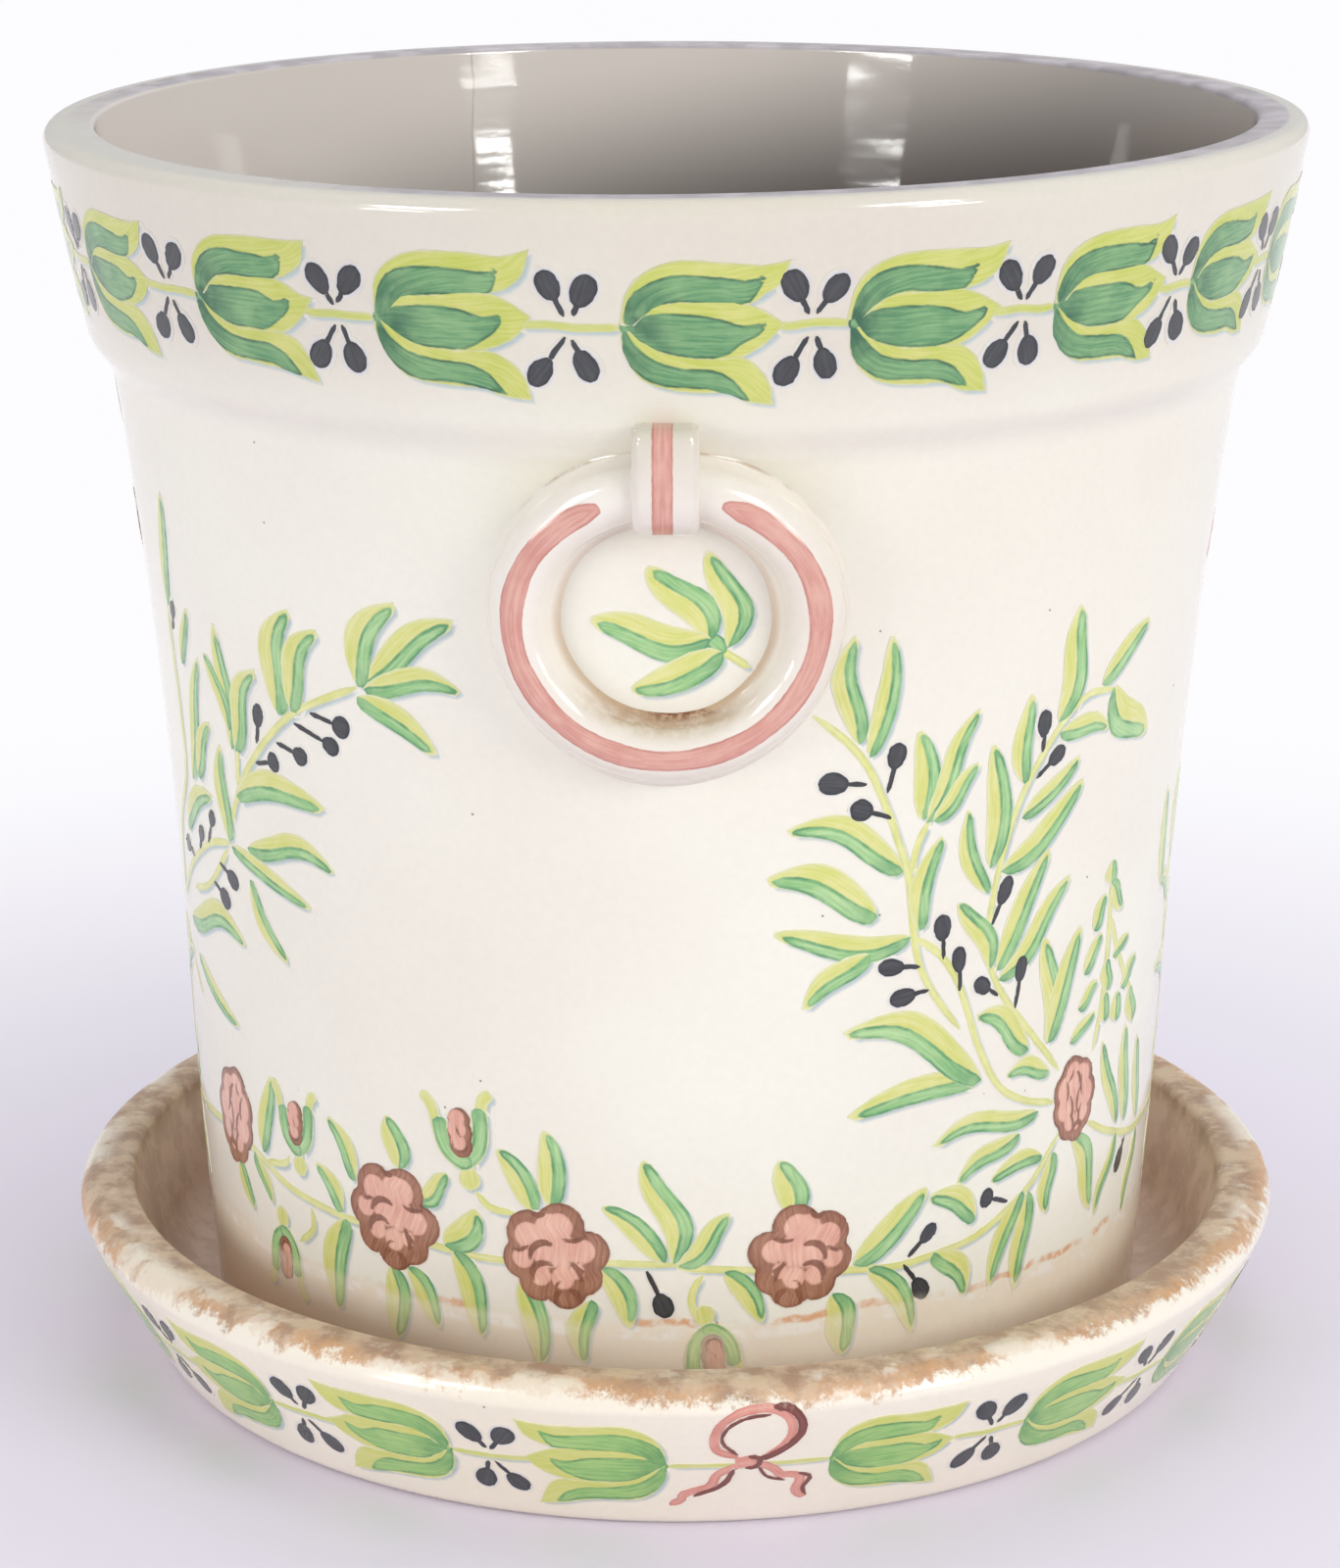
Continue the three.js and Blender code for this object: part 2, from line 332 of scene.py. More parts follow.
def points_of(piece):
    """A mesh's points as an array."""
    points = np.zeros(len(piece.data.vertices) * 3, np.float32)
    piece.data.vertices.foreach_get("co", points)
    return points.reshape(-1, 3).astype(float)


def put_points(piece, points):
    """Moves a mesh's points to new places."""
    piece.data.vertices.foreach_set("co", np.ravel(points))


def keep_value(piece, name, values):
    """Stores one or three numbers for each point of a mesh."""
    values = np.asarray(values, np.float32)
    kind, field = ("FLOAT", "value") if values.ndim == 1 else ("FLOAT_VECTOR", "vector")
    piece.data.attributes.new(name, kind, "POINT").data.foreach_set(field, values.ravel())


def turned(name, outline, closed):
    """A body of revolution: a ring of points is set to the outline and turned about the axis."""
    bpy.ops.object.select_all(action="DESELECT")
    bpy.ops.mesh.primitive_circle_add(vertices=len(outline), radius=0.1)
    piece = bpy.context.object
    piece.name = name
    put_points(piece, [(radius / 1000, 0, height / 1000) for radius, height in outline])
    if not closed:
        ends = {0, len(outline) - 1}
        bpy.ops.object.mode_set(mode="EDIT")
        bpy.ops.mesh.select_mode(type="EDGE")
        bpy.ops.mesh.select_all(action="DESELECT")
        bpy.ops.object.mode_set(mode="OBJECT")
        for edge in piece.data.edges:
            edge.select = set(edge.vertices) == ends
        bpy.ops.object.mode_set(mode="EDIT")
        bpy.ops.mesh.delete(type="EDGE_FACE")
        bpy.ops.mesh.select_mode(type="VERT")
        bpy.ops.object.mode_set(mode="OBJECT")
    lathe = piece.modifiers.new("lathe", "SCREW")
    lathe.axis = "Z"
    lathe.angle = 2 * math.pi
    lathe.steps = lathe.render_steps = LATHE_STEPS
    lathe.use_merge_vertices = True
    lathe.merge_threshold = 2e-6
    bpy.ops.object.modifier_apply(modifier="lathe")
    bpy.ops.object.mode_set(mode="EDIT")
    bpy.ops.mesh.select_all(action="SELECT")
    bpy.ops.mesh.normals_make_consistent(inside=False)
    bpy.ops.object.mode_set(mode="OBJECT")
    return piece


def smooth(piece, angle):
    """Smooth shading that leaves edges sharper than an angle, in degrees, sharp."""
    bpy.ops.object.select_all(action="DESELECT")
    piece.select_set(True)
    bpy.context.view_layer.objects.active = piece
    bpy.ops.object.shade_smooth_by_angle(angle=math.radians(angle))


pot = turned("glazed_pot", pot_outline, True)
points = points_of(pot)
radii = np.hypot(points[:, 0], points[:, 1]) * 1000
keep_value(pot, "inward", outer_radius(points[:, 2] * 1000) - radii)
put_points(pot, settle(points))
smooth(pot, 50)


def value_of(tree, name, kind="Fac"):
    """What a mesh keeps for each of its points: one number, or three as a vector."""
    return add_node(tree, "Attribute", attribute_name=name)[kind]


def axes(where):
    """A place's distances to the right, to the back and up."""
    parts = joined("SeparateXYZ", {0: where})
    return [parts[k] for k in range(3)]


def cloud(where, scale, detail, roughness=0.5):
    """Noise between 0 and 1 at a position."""
    inputs = {"Vector": where, "Scale": scale, "Detail": detail, "Roughness": roughness}
    return joined("TexNoise", inputs)


def new_group(name, inputs, outputs):
    """An empty node group, what it is given, and the node that its results go to."""
    group = bpy.data.node_groups.new(name, "ShaderNodeTree")
    for label, default in inputs.items():
        kind = "NodeSocketColor" if isinstance(default, tuple) else "NodeSocketFloat"
        socket = group.interface.new_socket(label, in_out="INPUT", socket_type=kind)
        socket.default_value = default
    for label in outputs:
        kind = "NodeSocketColor" if label == "Color" else "NodeSocketFloat"
        group.interface.new_socket(label, in_out="OUTPUT", socket_type=kind)
    entry = group.nodes.new("NodeGroupInput")
    given = {label: Output(entry.outputs[label]) for label in inputs}
    return group, given, group.nodes.new("NodeGroupOutput")


def finish_glaze(shader, colour, roughness, height):
    """Gives a material's shader its colour, its gloss and the relief of its skin."""
    bump = joined("Bump", {"Height": height, "Distance": 1.0})
    feed(shader, {"Base Color": colour, "Roughness": roughness, "Normal": bump})


# The ivory glaze that every piece shares: a warm white that varies in tone where it ran thick or
# thin, with a few brown iron specks, over the soft ridges left by the thrower's fingers.
ivory_glaze, given, results = new_group(
    "ivory_glaze",
    {"Thin": linear("EFE9DC"), "Thick": linear("F4F1E4")},
    ("Color", "Roughness", "Height"),
)
where = position(ivory_glaze)
colour = blend(ease(cloud(where, 7, 3), 0.32, 0.68), given["Thin"], given["Thick"])
grain = ease(cloud(where, 420, 3), 0.3, 0.7, 0.986, 1.006)
grain = joined("CombineColor", {0: grain, 1: grain, 2: grain})
colour = blend(1.0, colour, grain, "MULTIPLY")
cells = joined("TexVoronoi", {"Vector": where, "Scale": 70})
chance = joined("SeparateColor", {0: cells["Color"]})
speck = ease(cells["Distance"], 0.016, 0.034, 1.0, 0.0) * ease(chance, 0.35, 0.5, 0.0, 0.8)
ridges = cloud(joined("Mapping", {"Vector": where, "Scale": (9, 9, 70)}), 1, 2) * 0.0001
sway = cloud(where, 16, 1) * 0.0011
skin = cloud(where, 520, 2) * 0.000006
feed(
    results,
    {
        "Color": blend(speck, colour, linear("6E4A3A")),
        "Roughness": ease(cloud(where, 30, 2), 0.3, 0.7, 0.1, 0.15),
        "Height": ridges + sway + skin,
    },
)

# Where the saucer's water stood, a rusty line runs round the pot's foot, and below it lime has left
# a dull veil that also clouds the painting. Painted shade, with some stain, browns the lowest band
# of the foot, more on the left.
water_mark_and_foot_shade, given, results = new_group("water_mark_and_foot_shade", {"Color": (1, 1, 1, 1)}, ("Color", "Veil"))
where = position(water_mark_and_foot_shade)
across, _, height = axes(where)
over = height + (cloud(where, 24, 4, 0.6) - 0.5) * 0.011 - WATER_LINE
veil = ease(over, -0.003, 0.0012, 1.0, 0.0)
crust = cloud(where, 260, 4, 0.6)
patchy = ease(cloud(where, 44, 4, 0.6), 0.42, 0.56)
line = ease(abs(over), 0.0004, 0.0016, 1.0, 0.0) * patchy * ease(crust, 0.32, 0.55)
line = line * ease(across, -0.085, -0.045, 0.1, 1.0)
scale = ease(abs(over + 0.0032), 0.0008, 0.0026, 1.0, 0.0)
scale = scale * ease(cloud(where, 120, 4, 0.7), 0.45, 0.6)
dull = veil * ease(crust, 0.3, 0.7, 0.45, 0.8)
# Painted shade with some stain: the lowest band of the foot browned, more on the left.
foot_shade_and_stain = ease(height, 0.02, 0.05, 1.0, 0.0) * ease(across, -0.02, -0.11, 0.25, 0.85)
colour = blend(dull, given["Color"], linear("F3E3CE"))
colour = blend(foot_shade_and_stain, colour, linear("C2A081"))
colour = blend(scale * 0.85, colour, linear("F8F3EC"))
colour = blend(line * 0.8, colour, linear("E09C62"))
feed(results, {"Color": colour, "Veil": veil})

# The pot's own ground: the glaze, with painted shade a little darker over the upper body and darker
# and greyer over the collar, a yellowish painted shade in the hollow round the straps, and the mark
# left by the water.
pot_ground, given, results = new_group("pot_ground", {}, ("Color", "Roughness", "Height", "Veil"))
glaze = add_node(pot_ground, "Group", node_tree=ivory_glaze)
across, _, height = axes(position(pot_ground))
# Yellowish painted shade in the hollow round each strap, above the ring.
strap_hollow_shade = ease(abs(across), 0.062, 0.016) * ease(height, 0.262, 0.282)
strap_hollow_shade = strap_hollow_shade * ease(height, 0.2895, 0.2925, 1.0, 0.25)
# Painted shade: a little darker up the body, darker and greyer over the collar.
upper_body_shade = blend(ease(height, 0.225, 0.285), (1, 1, 1, 1), (0.96, 0.952, 0.945, 1))
wall_shade = blend(ease(height, 0.288, 0.322), upper_body_shade, (0.82, 0.795, 0.785, 1))
wall_shade = blend(strap_hollow_shade, wall_shade, (0.87, 0.85, 0.78, 1))
toned = blend(1.0, glaze["Color"], wall_shade, "MULTIPLY")
marked = joined("Group", {"Color": toned}, node_tree=water_mark_and_foot_shade)
feed(results, {label: glaze[label] for label in ("Roughness", "Height")})
feed(results, {label: marked[label] for label in ("Color", "Veil")})

pot_glaze, tree, shader = new_material("pot_glaze")
pot.data.materials.append(pot_glaze)
glaze = add_node(tree, "Group", node_tree=pot_ground)
inward = value_of(tree, "inward")
where = position(tree)
across, behind, height = axes(where)
rim = ease(inward, 1.4, 2.8) * ease(height, 0.3558, 0.3567)
rim_colour = blend(ease(cloud(where, 90, 3), 0.35, 0.65), linear("A7A0A6"), linear("C4BDC3"))
# Inside, the glaze is painted in shade: darker downward and to the right, and lighter again near
# the floor; a real hairline crack runs down the back wall.
inner_shade_and_crack = blend(ease(height - across * 0.2, 0.284, 0.358), linear("4E443E"), linear("E2D8D0"))
crooked = (cloud(where, 55, 4, 0.6) - 0.5) * 0.004
hairline = ease(abs(across + 0.0657 + crooked), 0.00012, 0.00042, 0.28, 0.0)
hairline = hairline * ease(behind, 0.0, 0.05) * ease(height, 0.295, 0.325)
inner_shade_and_crack = blend(hairline, inner_shade_and_crack, linear("6A5C50"))
inner_shade_and_crack = blend(ease(height, 0.24, 0.28, 1.0, 0.0), inner_shade_and_crack, linear("9A8E84"))
colour = blend(ease(inward, 7.0, 11.0), glaze["Color"], inner_shade_and_crack)
colour = blend(rim * 0.9, colour, rim_colour)
gloss = glaze["Roughness"] * ease(inward, 7.0, 11.0, 1.0, 0.4) + rim * 0.35
finish_glaze(shader, colour, gloss, glaze["Height"])
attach(pot, "pot")
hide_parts("pot")


# The saucer. It is thrown to match the pot, with a thick rolled rim, and glazed all over; years of
# watering have stained its rim and inside brown and left rusty runs over the edge.
SAUCER_FOOT = 151.5
SAUCER_RADIUS = 176.5
SAUCER_TOP = 49.0
SAUCER_ROLL = 7.0
SAUCER_LIP = 3.0
SAUCER_FLOOR = 10.0
COVE_START = (153.45, 19)
COVE_END = 139.74
STAIN_EDGE = (175.6, 45.4)

roll = (SAUCER_RADIUS - SAUCER_ROLL, SAUCER_TOP - SAUCER_ROLL)
lip = (163.5, SAUCER_TOP - SAUCER_LIP)
saucer_outline = chain(
    [(r, 0) for r in np.linspace(0, SAUCER_FOOT, 12)],
    curve(((SAUCER_FOOT, 0), (154.5, 0), (156.54, 3.9)), 6),
    curve(((156.54, 3.9), (172.83, 32.2), (SAUCER_RADIUS, roll[1])), 26),
    arc(roll, SAUCER_ROLL, 0, 90, 12),
    [(r, SAUCER_TOP) for r in (roll[0], 166.5, lip[0])],
    arc(lip, SAUCER_LIP, 90, 180, 6),
    [(160.5 - 7.05 * s, lip[1] - 27 * s) for s in np.linspace(0, 1, 12)],
    curve((COVE_START, (148.74, SAUCER_FLOOR), (COVE_END, SAUCER_FLOOR)), 8),
    [(r, SAUCER_FLOOR) for r in np.linspace(COVE_END, 0, 12)],
)
saucer = turned("glazed_saucer", saucer_outline, False)


def lengths_along(points):
    """How far along a line each of its points lies."""
    return np.concatenate([[0], np.cumsum(np.hypot(*np.diff(points, axis=0).T))])


section = np.array(saucer_outline)
run = lengths_along(section)
edge = run[np.argmin(np.hypot(*(section - STAIN_EDGE).T))]


def soiling(points):
    """How far past the stain's edge each point lies, in mm along the saucer's section."""
    radii = np.hypot(points[:, 0], points[:, 1]) * 1000
    heights = points[:, 2] * 1000
    gap = (radii[:, None] - section[:, 0]) ** 2 + (heights[:, None] - section[:, 1]) ** 2
    return run[np.argmin(gap, axis=1)] - edge


keep_value(saucer, "soiled", soiling(points_of(saucer)))
smooth(saucer, 50)

stained_saucer, given, results = new_group(
    "stained_saucer", {"Soiled": -20.0}, ("Color", "Roughness", "Height", "Veil")
)
where = position(stained_saucer)
# The saucer's glaze tone is painted lighter and yellower, in part as painted light that makes up
# for the little light on its down-facing wall.
painted_light_tones = {"Thin": linear("F8EEDB"), "Thick": linear("FCF4E5")}
ground = add_node(stained_saucer, "Group", painted_light_tones, node_tree=ivory_glaze)
soiled = given["Soiled"]
runs = joined("Mapping", {"Vector": where, "Scale": (95, 95, 16)})
ragged = (cloud(runs, 1, 5, 0.7) - 0.53) * 16 + (cloud(where, 420, 5, 0.75) - 0.5) * 13
swing = (cloud(where, 17, 3) - 0.5) * 13
stain = soiled + ragged + swing + ease(axes(where)[0], -0.1, -0.165, 0.0, 5.0)
bare = ease(cloud(where, 30, 5, 0.65), 0.5, 0.58) * ease(soiled, 12, 5)
covered = ease(stain, -1.0, 2.0) * (1.0 - bare * 0.75)
rust = ease(stain, 1.5, 9.0, 1.0, 0.0) * ease(cloud(where, 60, 4, 0.7), 0.34, 0.55)
patches = ease(cloud(where, 85, 5, 0.65), 0.4, 0.6)
lime = ease(cloud(where, 130, 5, 0.7), 0.55, 0.7)
top = blend(patches, linear("A9856A"), linear("D4B99B"))
top = blend(lime * 0.6, top, linear("E4D8C8"))
inner = blend(patches, linear("D6BDAB"), linear("EAD2C1"))
deepest = blend(patches, linear("DCC1B0"), linear("EED7C6"))
brown = blend(ease(soiled, 14, 24), top, inner)
brown = blend(ease(soiled, 42, 66), brown, deepest)
brown = blend(rust * 0.9, brown, linear("D39E6C"))
feed(
    results,
    {
        "Color": blend(covered * 0.93, ground["Color"], brown),
        "Roughness": blend(covered, ground["Roughness"], (0.42, 0.42, 0.42, 1)),
        "Height": ground["Height"] + cloud(where, 500, 4, 0.7) * 0.00009 * covered,
        "Veil": covered,
    },
)

saucer_glaze, tree, shader = new_material("saucer_glaze")
saucer.data.materials.append(saucer_glaze)
ground = joined("Group", {"Soiled": value_of(tree, "soiled")}, node_tree=stained_saucer)
finish_glaze(shader, ground["Color"], ground["Roughness"], ground["Height"])
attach(saucer, "saucer")
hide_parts("saucer")


# The ring handles. Each is a rope of clay bent to an oval and pressed on the wall under the collar
# before firing, front and back, with slip worked into the crease round it and a pink band painted
# along its crest.
RING_CENTRE = 249.1
RING_HALF_WIDTH = 36.3
RING_HALF_HEIGHT = 34.9
RING_TUBE = 7.5
RING_STAND_OFF = 4.5
RING_BAND = 3.05
BAND_GAP = (70, 113)
RING_WALL = outer_radius(RING_CENTRE)


def ring_section(turn):
    """Offset across the rope and off the wall, in mm, at an angle round the rope's section."""
    right = math.cos(turn) >= 0
    lift = math.degrees(math.asin(max(-1.0, min(1.0, math.sin(turn)))))
    if lift >= 15:
        across = RING_TUBE * math.cos(math.radians(lift))
        off = RING_STAND_OFF + RING_TUBE * math.sin(math.radians(lift))
    elif lift >= -34:
        s = (15 - lift) / 49
        across = (1 - s) ** 2 * 7.24 + 2 * s * (1 - s) * 8.3 + s * s * 11.0
        off = (1 - s) ** 2 * 6.44 + 2 * s * (1 - s) * 0.9 - s * s * 0.6
    else:
        s = (-lift - 34) / 56
        across = 11.0 * (1 - s)
        off = -0.6 - 0.9 * min(1, 3 * s)
    return (across if right else -0.95 * across), off


bpy.ops.object.select_all(action="DESELECT")
bpy.ops.mesh.primitive_torus_add(
    major_segments=192, minor_segments=64, major_radius=1.0, minor_radius=0.25
)
front_ring = bpy.context.object
front_ring.name = "painted_ring_front"
raw = points_of(front_ring)
turns = np.arctan2(raw[:, 1], raw[:, 0])
rolls = np.arctan2(raw[:, 2], np.hypot(raw[:, 0], raw[:, 1]) - 1.0)
outward, off_wall = np.array([ring_section(roll) for roll in rolls]).T
lumps = 1 + 0.012 * np.sin(3 * turns + 1.1) + 0.01 * np.sin(7 * turns + 0.4)
sideways = RING_HALF_WIDTH * np.cos(turns) + np.cos(turns) * outward * lumps
heights = RING_CENTRE + RING_HALF_HEIGHT * np.sin(turns) + np.sin(turns) * outward * lumps
reaches = outer_radius(heights) + off_wall
around = sideways / RING_WALL
spots = np.stack([reaches * np.sin(around), -reaches * np.cos(around), heights], axis=1)
put_points(front_ring, spots / 1000)
crest = np.where(off_wall > 0, np.abs(rolls - math.pi / 2) * RING_TUBE, 30)
opening = np.degrees(turns) % 360
ends = np.minimum((opening - BAND_GAP[1]) % 360, (BAND_GAP[0] - opening) % 360)
between = (opening > BAND_GAP[0]) & (opening < BAND_GAP[1])
ends = np.where(between, -3.0, np.radians(ends) * RING_HALF_WIDTH)
band = RING_BAND * np.clip(0.45 + ends / 9, 0.45, 1) * (1 + 0.05 * np.sin(9 * turns))
keep_value(front_ring, "inset", band - np.hypot(crest, np.clip(band - ends, 0, None)))
keep_value(front_ring, "along", np.unwrap(turns) * RING_HALF_WIDTH)
keep_value(front_ring, "off_wall", off_wall)
keep_value(front_ring, "outward", outward)
smooth(front_ring, 60)

# Brushed colour: painted wet over the raw glaze, it sinks in at its rim, pools darker just inside,
# and shows the hairs' streaks along the stroke.
brushed_colour, given, results = new_group(
    "brushed_colour",
    {
        "Ground": (1, 1, 1, 1),
        "Thin": (1, 1, 1, 1),
        "Full": (0.5, 0.5, 0.5, 1),
        "Pooled": (0.2, 0.2, 0.2, 1),
        "Inset": 1.0,
        "Along": 0.0,
        "Across": 0.0,
        "Chance": 0.0,
        "Soft": 0.35,
        "Lead": 0.0,
        "Fade": 0.01,
        "Pool": 0.6,
        "Settled": 0.0,
        "Cover": 1.0,
    },
    ("Color", "Cover"),
)
where = position(brushed_colour)
inset = given["Inset"] + (cloud(where, 420, 3) - 0.5) * 0.55
cover = ease(inset + given["Lead"], 0.0, given["Soft"])
hairs = {0: given["Along"] * 0.09, 1: given["Across"] * 1.25, 2: given["Chance"] * 40}
streak = ease(cloud(joined("CombineXYZ", hairs), 1, 3, 0.6), 0.32, 0.68)
wash = ease(cloud(where, 110, 3), 0.35, 0.65)
body = blend(streak * 0.65 + wash * 0.35, given["Thin"], given["Full"])
faded = ease(inset + 0.1, 0.0, given["Fade"], 0.45, 0.0)
body = blend(faded, body, given["Ground"])
body = blend(faded * 0.45, body, given["Thin"])
puddle = ease(cloud(where, 160, 3), 0.35, 0.65, 0.35, 1.0)
pooled = reckon("MAXIMUM", ease(inset, 0.2, 1.15, 1.0, 0.0), given["Settled"])
body = blend(pooled * puddle * given["Pool"], body, given["Pooled"])
share = cover * given["Cover"]
feed(results, {"Color": blend(share, given["Ground"], body), "Cover": share})


def brush_over(ground, colours, inset, along, across, **manner):
    """Brushed colour on a ground, from its thin, full and pooled colours."""
    inputs = {"Ground": ground, "Inset": inset, "Along": along, "Across": across, **manner}
    inputs.update(zip(("Thin", "Full", "Pooled"), map(linear, colours)))
    return joined("Group", inputs, node_tree=brushed_colour)["Color"]


ring_glaze, tree, shader = new_material("ring_glaze")
front_ring.data.materials.append(ring_glaze)
# The ring's glaze tone is painted a little darker than the pot's, as painted shade.
painted_light_tones = {"Thin": linear("E9DFD1"), "Thick": linear("F1EADF")}
glaze = add_node(tree, "Group", painted_light_tones, node_tree=ivory_glaze)
inset, along, off_wall, outward = (
    value_of(tree, name) for name in ("inset", "along", "off_wall", "outward")
)
pinks = ("E1B0A2", "D09184", "BA756A")
painted = brush_over(glaze["Color"], pinks, inset, along, inset, Soft=0.3, Pool=0.75)
where = position(tree)
beside, _, height = axes(where)
# Painted shade darkens the crease inside the ring, most towards its bottom.
crease = ease(off_wall, 0.3, 4.0, 1.0, 0.0) * ease(outward, -4.0, -6.5)
shaded = crease * ease(height, 0.224, 0.28, 1.0, 0.35)
colour = blend(shaded, painted, linear("DCC9B2"), "MULTIPLY")
lodged = ease(off_wall, 12.0, 5.0) * ease(outward, -1.0, -6.0)
lodged = lodged * ease(height, 0.2215, 0.2345, 1.0, 0.0)
lodged = lodged * ease(cloud(where, 150, 4, 0.7), 0.3, 0.62, 0.35, 1.0)
colour = blend(lodged * 0.9, colour, linear("BB9A79"))
low = ease(height, 0.2243, 0.2262, 1.0, 0.0)
dirt = crease * (low * ease(abs(beside - 0.0065), 0.006, 0.014, 1.0, 0.3))
dirt = dirt * ease(cloud(where, 520, 4, 0.7), 0.42, 0.6)
colour = blend(dirt * 0.95, colour, linear("80523A"))
seam = ease(off_wall, 0.3, 1.1, 1.0, 0.0) * ease(outward, 6.0, 7.5)
seam = seam * ease(height, 0.273, 0.284) * ease(cloud(where, 160, 4), 0.36, 0.6)
colour = blend(seam * 0.6, colour, linear("AF8F69"))
finish_glaze(shader, colour, glaze["Roughness"], glaze["Height"])


def half_turn(piece, name):
    """A copy of a piece with its own mesh, turned half round the pot's axis."""
    twin = piece.copy()
    twin.data = piece.data.copy()
    twin.name = name
    scene.collection.objects.link(twin)
    put_points(twin, points_of(piece) * (-1, -1, 1))
    twin.data.update()
    return twin


back_ring = half_turn(front_ring, "painted_ring_back")
for ring, node in ((front_ring, "ring_handle_front"), (back_ring, "ring_handle_back")):
    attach(ring, "pot")
    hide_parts(node)


# The straps. A flat band of clay leaves the collar's lower edge, lies over each ring's top and
# tucks in under it, luted on with the ring; its edges are rounded and a pink stripe runs down it.
STRAP_WIDTH = 16.8
STRAP_EDGE = 2.3
STRAP_TUCK = 9.5
STRAP_FOOT = 273.2
STRAP_TOP = 301.6
LOOP_HEIGHT = 284.0
LOOP_RADIUS = 10.8
CORNER_REACH = 6.8
CORNER_HEIGHT = 297.6
CORNER_ROUND = 4
CROWN_HALF = 0.0078
STRIPE_HALF = 2.75
STRIPE_OFFSET = 0.7

strap_core = outer_radius(LOOP_HEIGHT) + RING_STAND_OFF
strap_outline = chain(
    [(strap_core - tuck, STRAP_FOOT) for tuck in (STRAP_TUCK, 5)],
    arc((strap_core, LOOP_HEIGHT), LOOP_RADIUS, -90, 0, 16),
    [(strap_core + LOOP_RADIUS, height) for height in (288.5, 293.0)],
    arc((strap_core + CORNER_REACH, CORNER_HEIGHT), CORNER_ROUND, 0, 90, 8),
    [(strap_core - STRAP_TUCK, STRAP_TOP)],
)
bpy.ops.object.select_all(action="DESELECT")
bpy.ops.mesh.primitive_circle_add(
    vertices=len(strap_outline), radius=0.01, fill_type="NGON"
)
front_strap = bpy.context.object
front_strap.name = "painted_strap_front"
side = STRAP_WIDTH / 2000
put_points(front_strap, [(-side, -reach / 1000, height / 1000) for reach, height in strap_outline])
bpy.ops.object.mode_set(mode="EDIT")
bpy.ops.mesh.select_all(action="SELECT")
bpy.ops.mesh.extrude_region_move(TRANSFORM_OT_translate={"value": (STRAP_WIDTH / 1000, 0, 0)})
bpy.ops.mesh.select_all(action="SELECT")
bpy.ops.mesh.normals_make_consistent(inside=False)
bpy.ops.object.mode_set(mode="OBJECT")
rounding = front_strap.modifiers.new("rounding", "BEVEL")
rounding.width = STRAP_EDGE / 1000
rounding.segments = 6
rounding.limit_method = "ANGLE"
rounding.angle_limit = math.radians(60)
rounding.use_clamp_overlap = False
bpy.ops.object.modifier_apply(modifier="rounding")
bpy.ops.object.mode_set(mode="EDIT")
bpy.ops.mesh.select_all(action="SELECT")
for cut in np.linspace(-0.0054, 0.0054, 10):
    bpy.ops.mesh.select_all(action="SELECT")
    bpy.ops.mesh.bisect(plane_co=(cut, 0, 0), plane_no=(1, 0, 0))
bpy.ops.object.mode_set(mode="OBJECT")
points = points_of(front_strap)
keep_value(front_strap, "inset", STRIPE_HALF - np.abs(points[:, 0] * 1000 + STRIPE_OFFSET))
keep_value(front_strap, "along", points[:, 2] * 1000)
points[:, 1] -= 0.001 * np.clip(1 - (points[:, 0] / CROWN_HALF) ** 2, 0, 1)
put_points(front_strap, points)
smooth(front_strap, 40)

strap_glaze, tree, shader = new_material("strap_glaze")
front_strap.data.materials.append(strap_glaze)
# The strap's glaze tone is painted darker, as painted shade like the collar's.
painted_light_tones = {"Thin": linear("E1D7CC"), "Thick": linear("EAE2D8")}
glaze = add_node(tree, "Group", painted_light_tones, node_tree=ivory_glaze)
inset, along = value_of(tree, "inset"), value_of(tree, "along")
height = axes(position(tree))[2]
# Painted shade under the collar: the strap darker towards its top.
strap_top_shade = blend(ease(height, 0.28, 0.301), (1, 1, 1, 1), (0.86, 0.855, 0.79, 1))
ground = blend(1.0, glaze["Color"], strap_top_shade, "MULTIPLY")
pinks = ("E2B2A4", "CE8F82", "B97264")
colour = brush_over(ground, pinks, inset, along, inset, Soft=0.3, Pool=0.75)
finish_glaze(shader, colour, glaze["Roughness"], glaze["Height"])
back_strap = half_turn(front_strap, "painted_strap_back")
for strap, node in ((front_strap, "ring_strap_front"), (back_strap, "ring_strap_back")):
    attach(strap, "pot")
    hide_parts(node)


# The painting. Each mark is laid with a loaded brush on the raw glaze and fires into it: a yellow
# wash, a green stroke along one edge, and a blue-grey shadow just below and to the right of both.
BODY_FACE = 148.0
COLLAR_FACE = 168.0
SHADOW_SHIFT = (1.05, -0.98)
# A leaf: the angle and height of its base, those of its tip, its width, which is negative where it
# bellies to the right, and its bend.
LEFT_LEAVES = (
    (-53, 183, -38.2, 188, 8, 0.1), (-51.7, 169, -37.5, 170, 6.8, 0.1),
    (-55.3, 167, -41.4, 158, 5.1, 0), (-51.9, 159, -46, 139, -5.4, 0.1),
    (-55.9, 169, -56.2, 196, 7.1, 0.05), (-53.3, 197, -54.5, 231, 6.7, -0.05),
    (-53.4, 202, -57.5, 221, 5.6, -0.1), (-52.3, 197, -47.1, 222, 7.4, 0.1),
    (-43.9, 212, -41, 242, 9.4, 0.12), (-41.8, 214, -37.1, 238, 7.9, 0.12),
    (-31, 226, -20.9, 246, 7.8, 0.04), (-32.2, 225, -27.3, 249, 8.4, 0.15),
    (-31.3, 224, -20.5, 227, 6.6, 0.08), (-32.3, 221, -23.5, 209, 6.9, 0.05),
    (-62.7, 183, -58.2, 201, 6.1, 0.05), (-68.9, 164, -59.5, 179, 6.6, 0.1),
    (-64.9, 181, -59.2, 219, 6, 0), (-71.5, 135, -54.1, 139, 8.1, 0.1),
    (-69.4, 125, -57.5, 113, 5, -0.05), (-66.3, 230, -63.6, 263, 5.9, 0),
    (-63.8, 215, -60.7, 232, 4.5, 0),
)
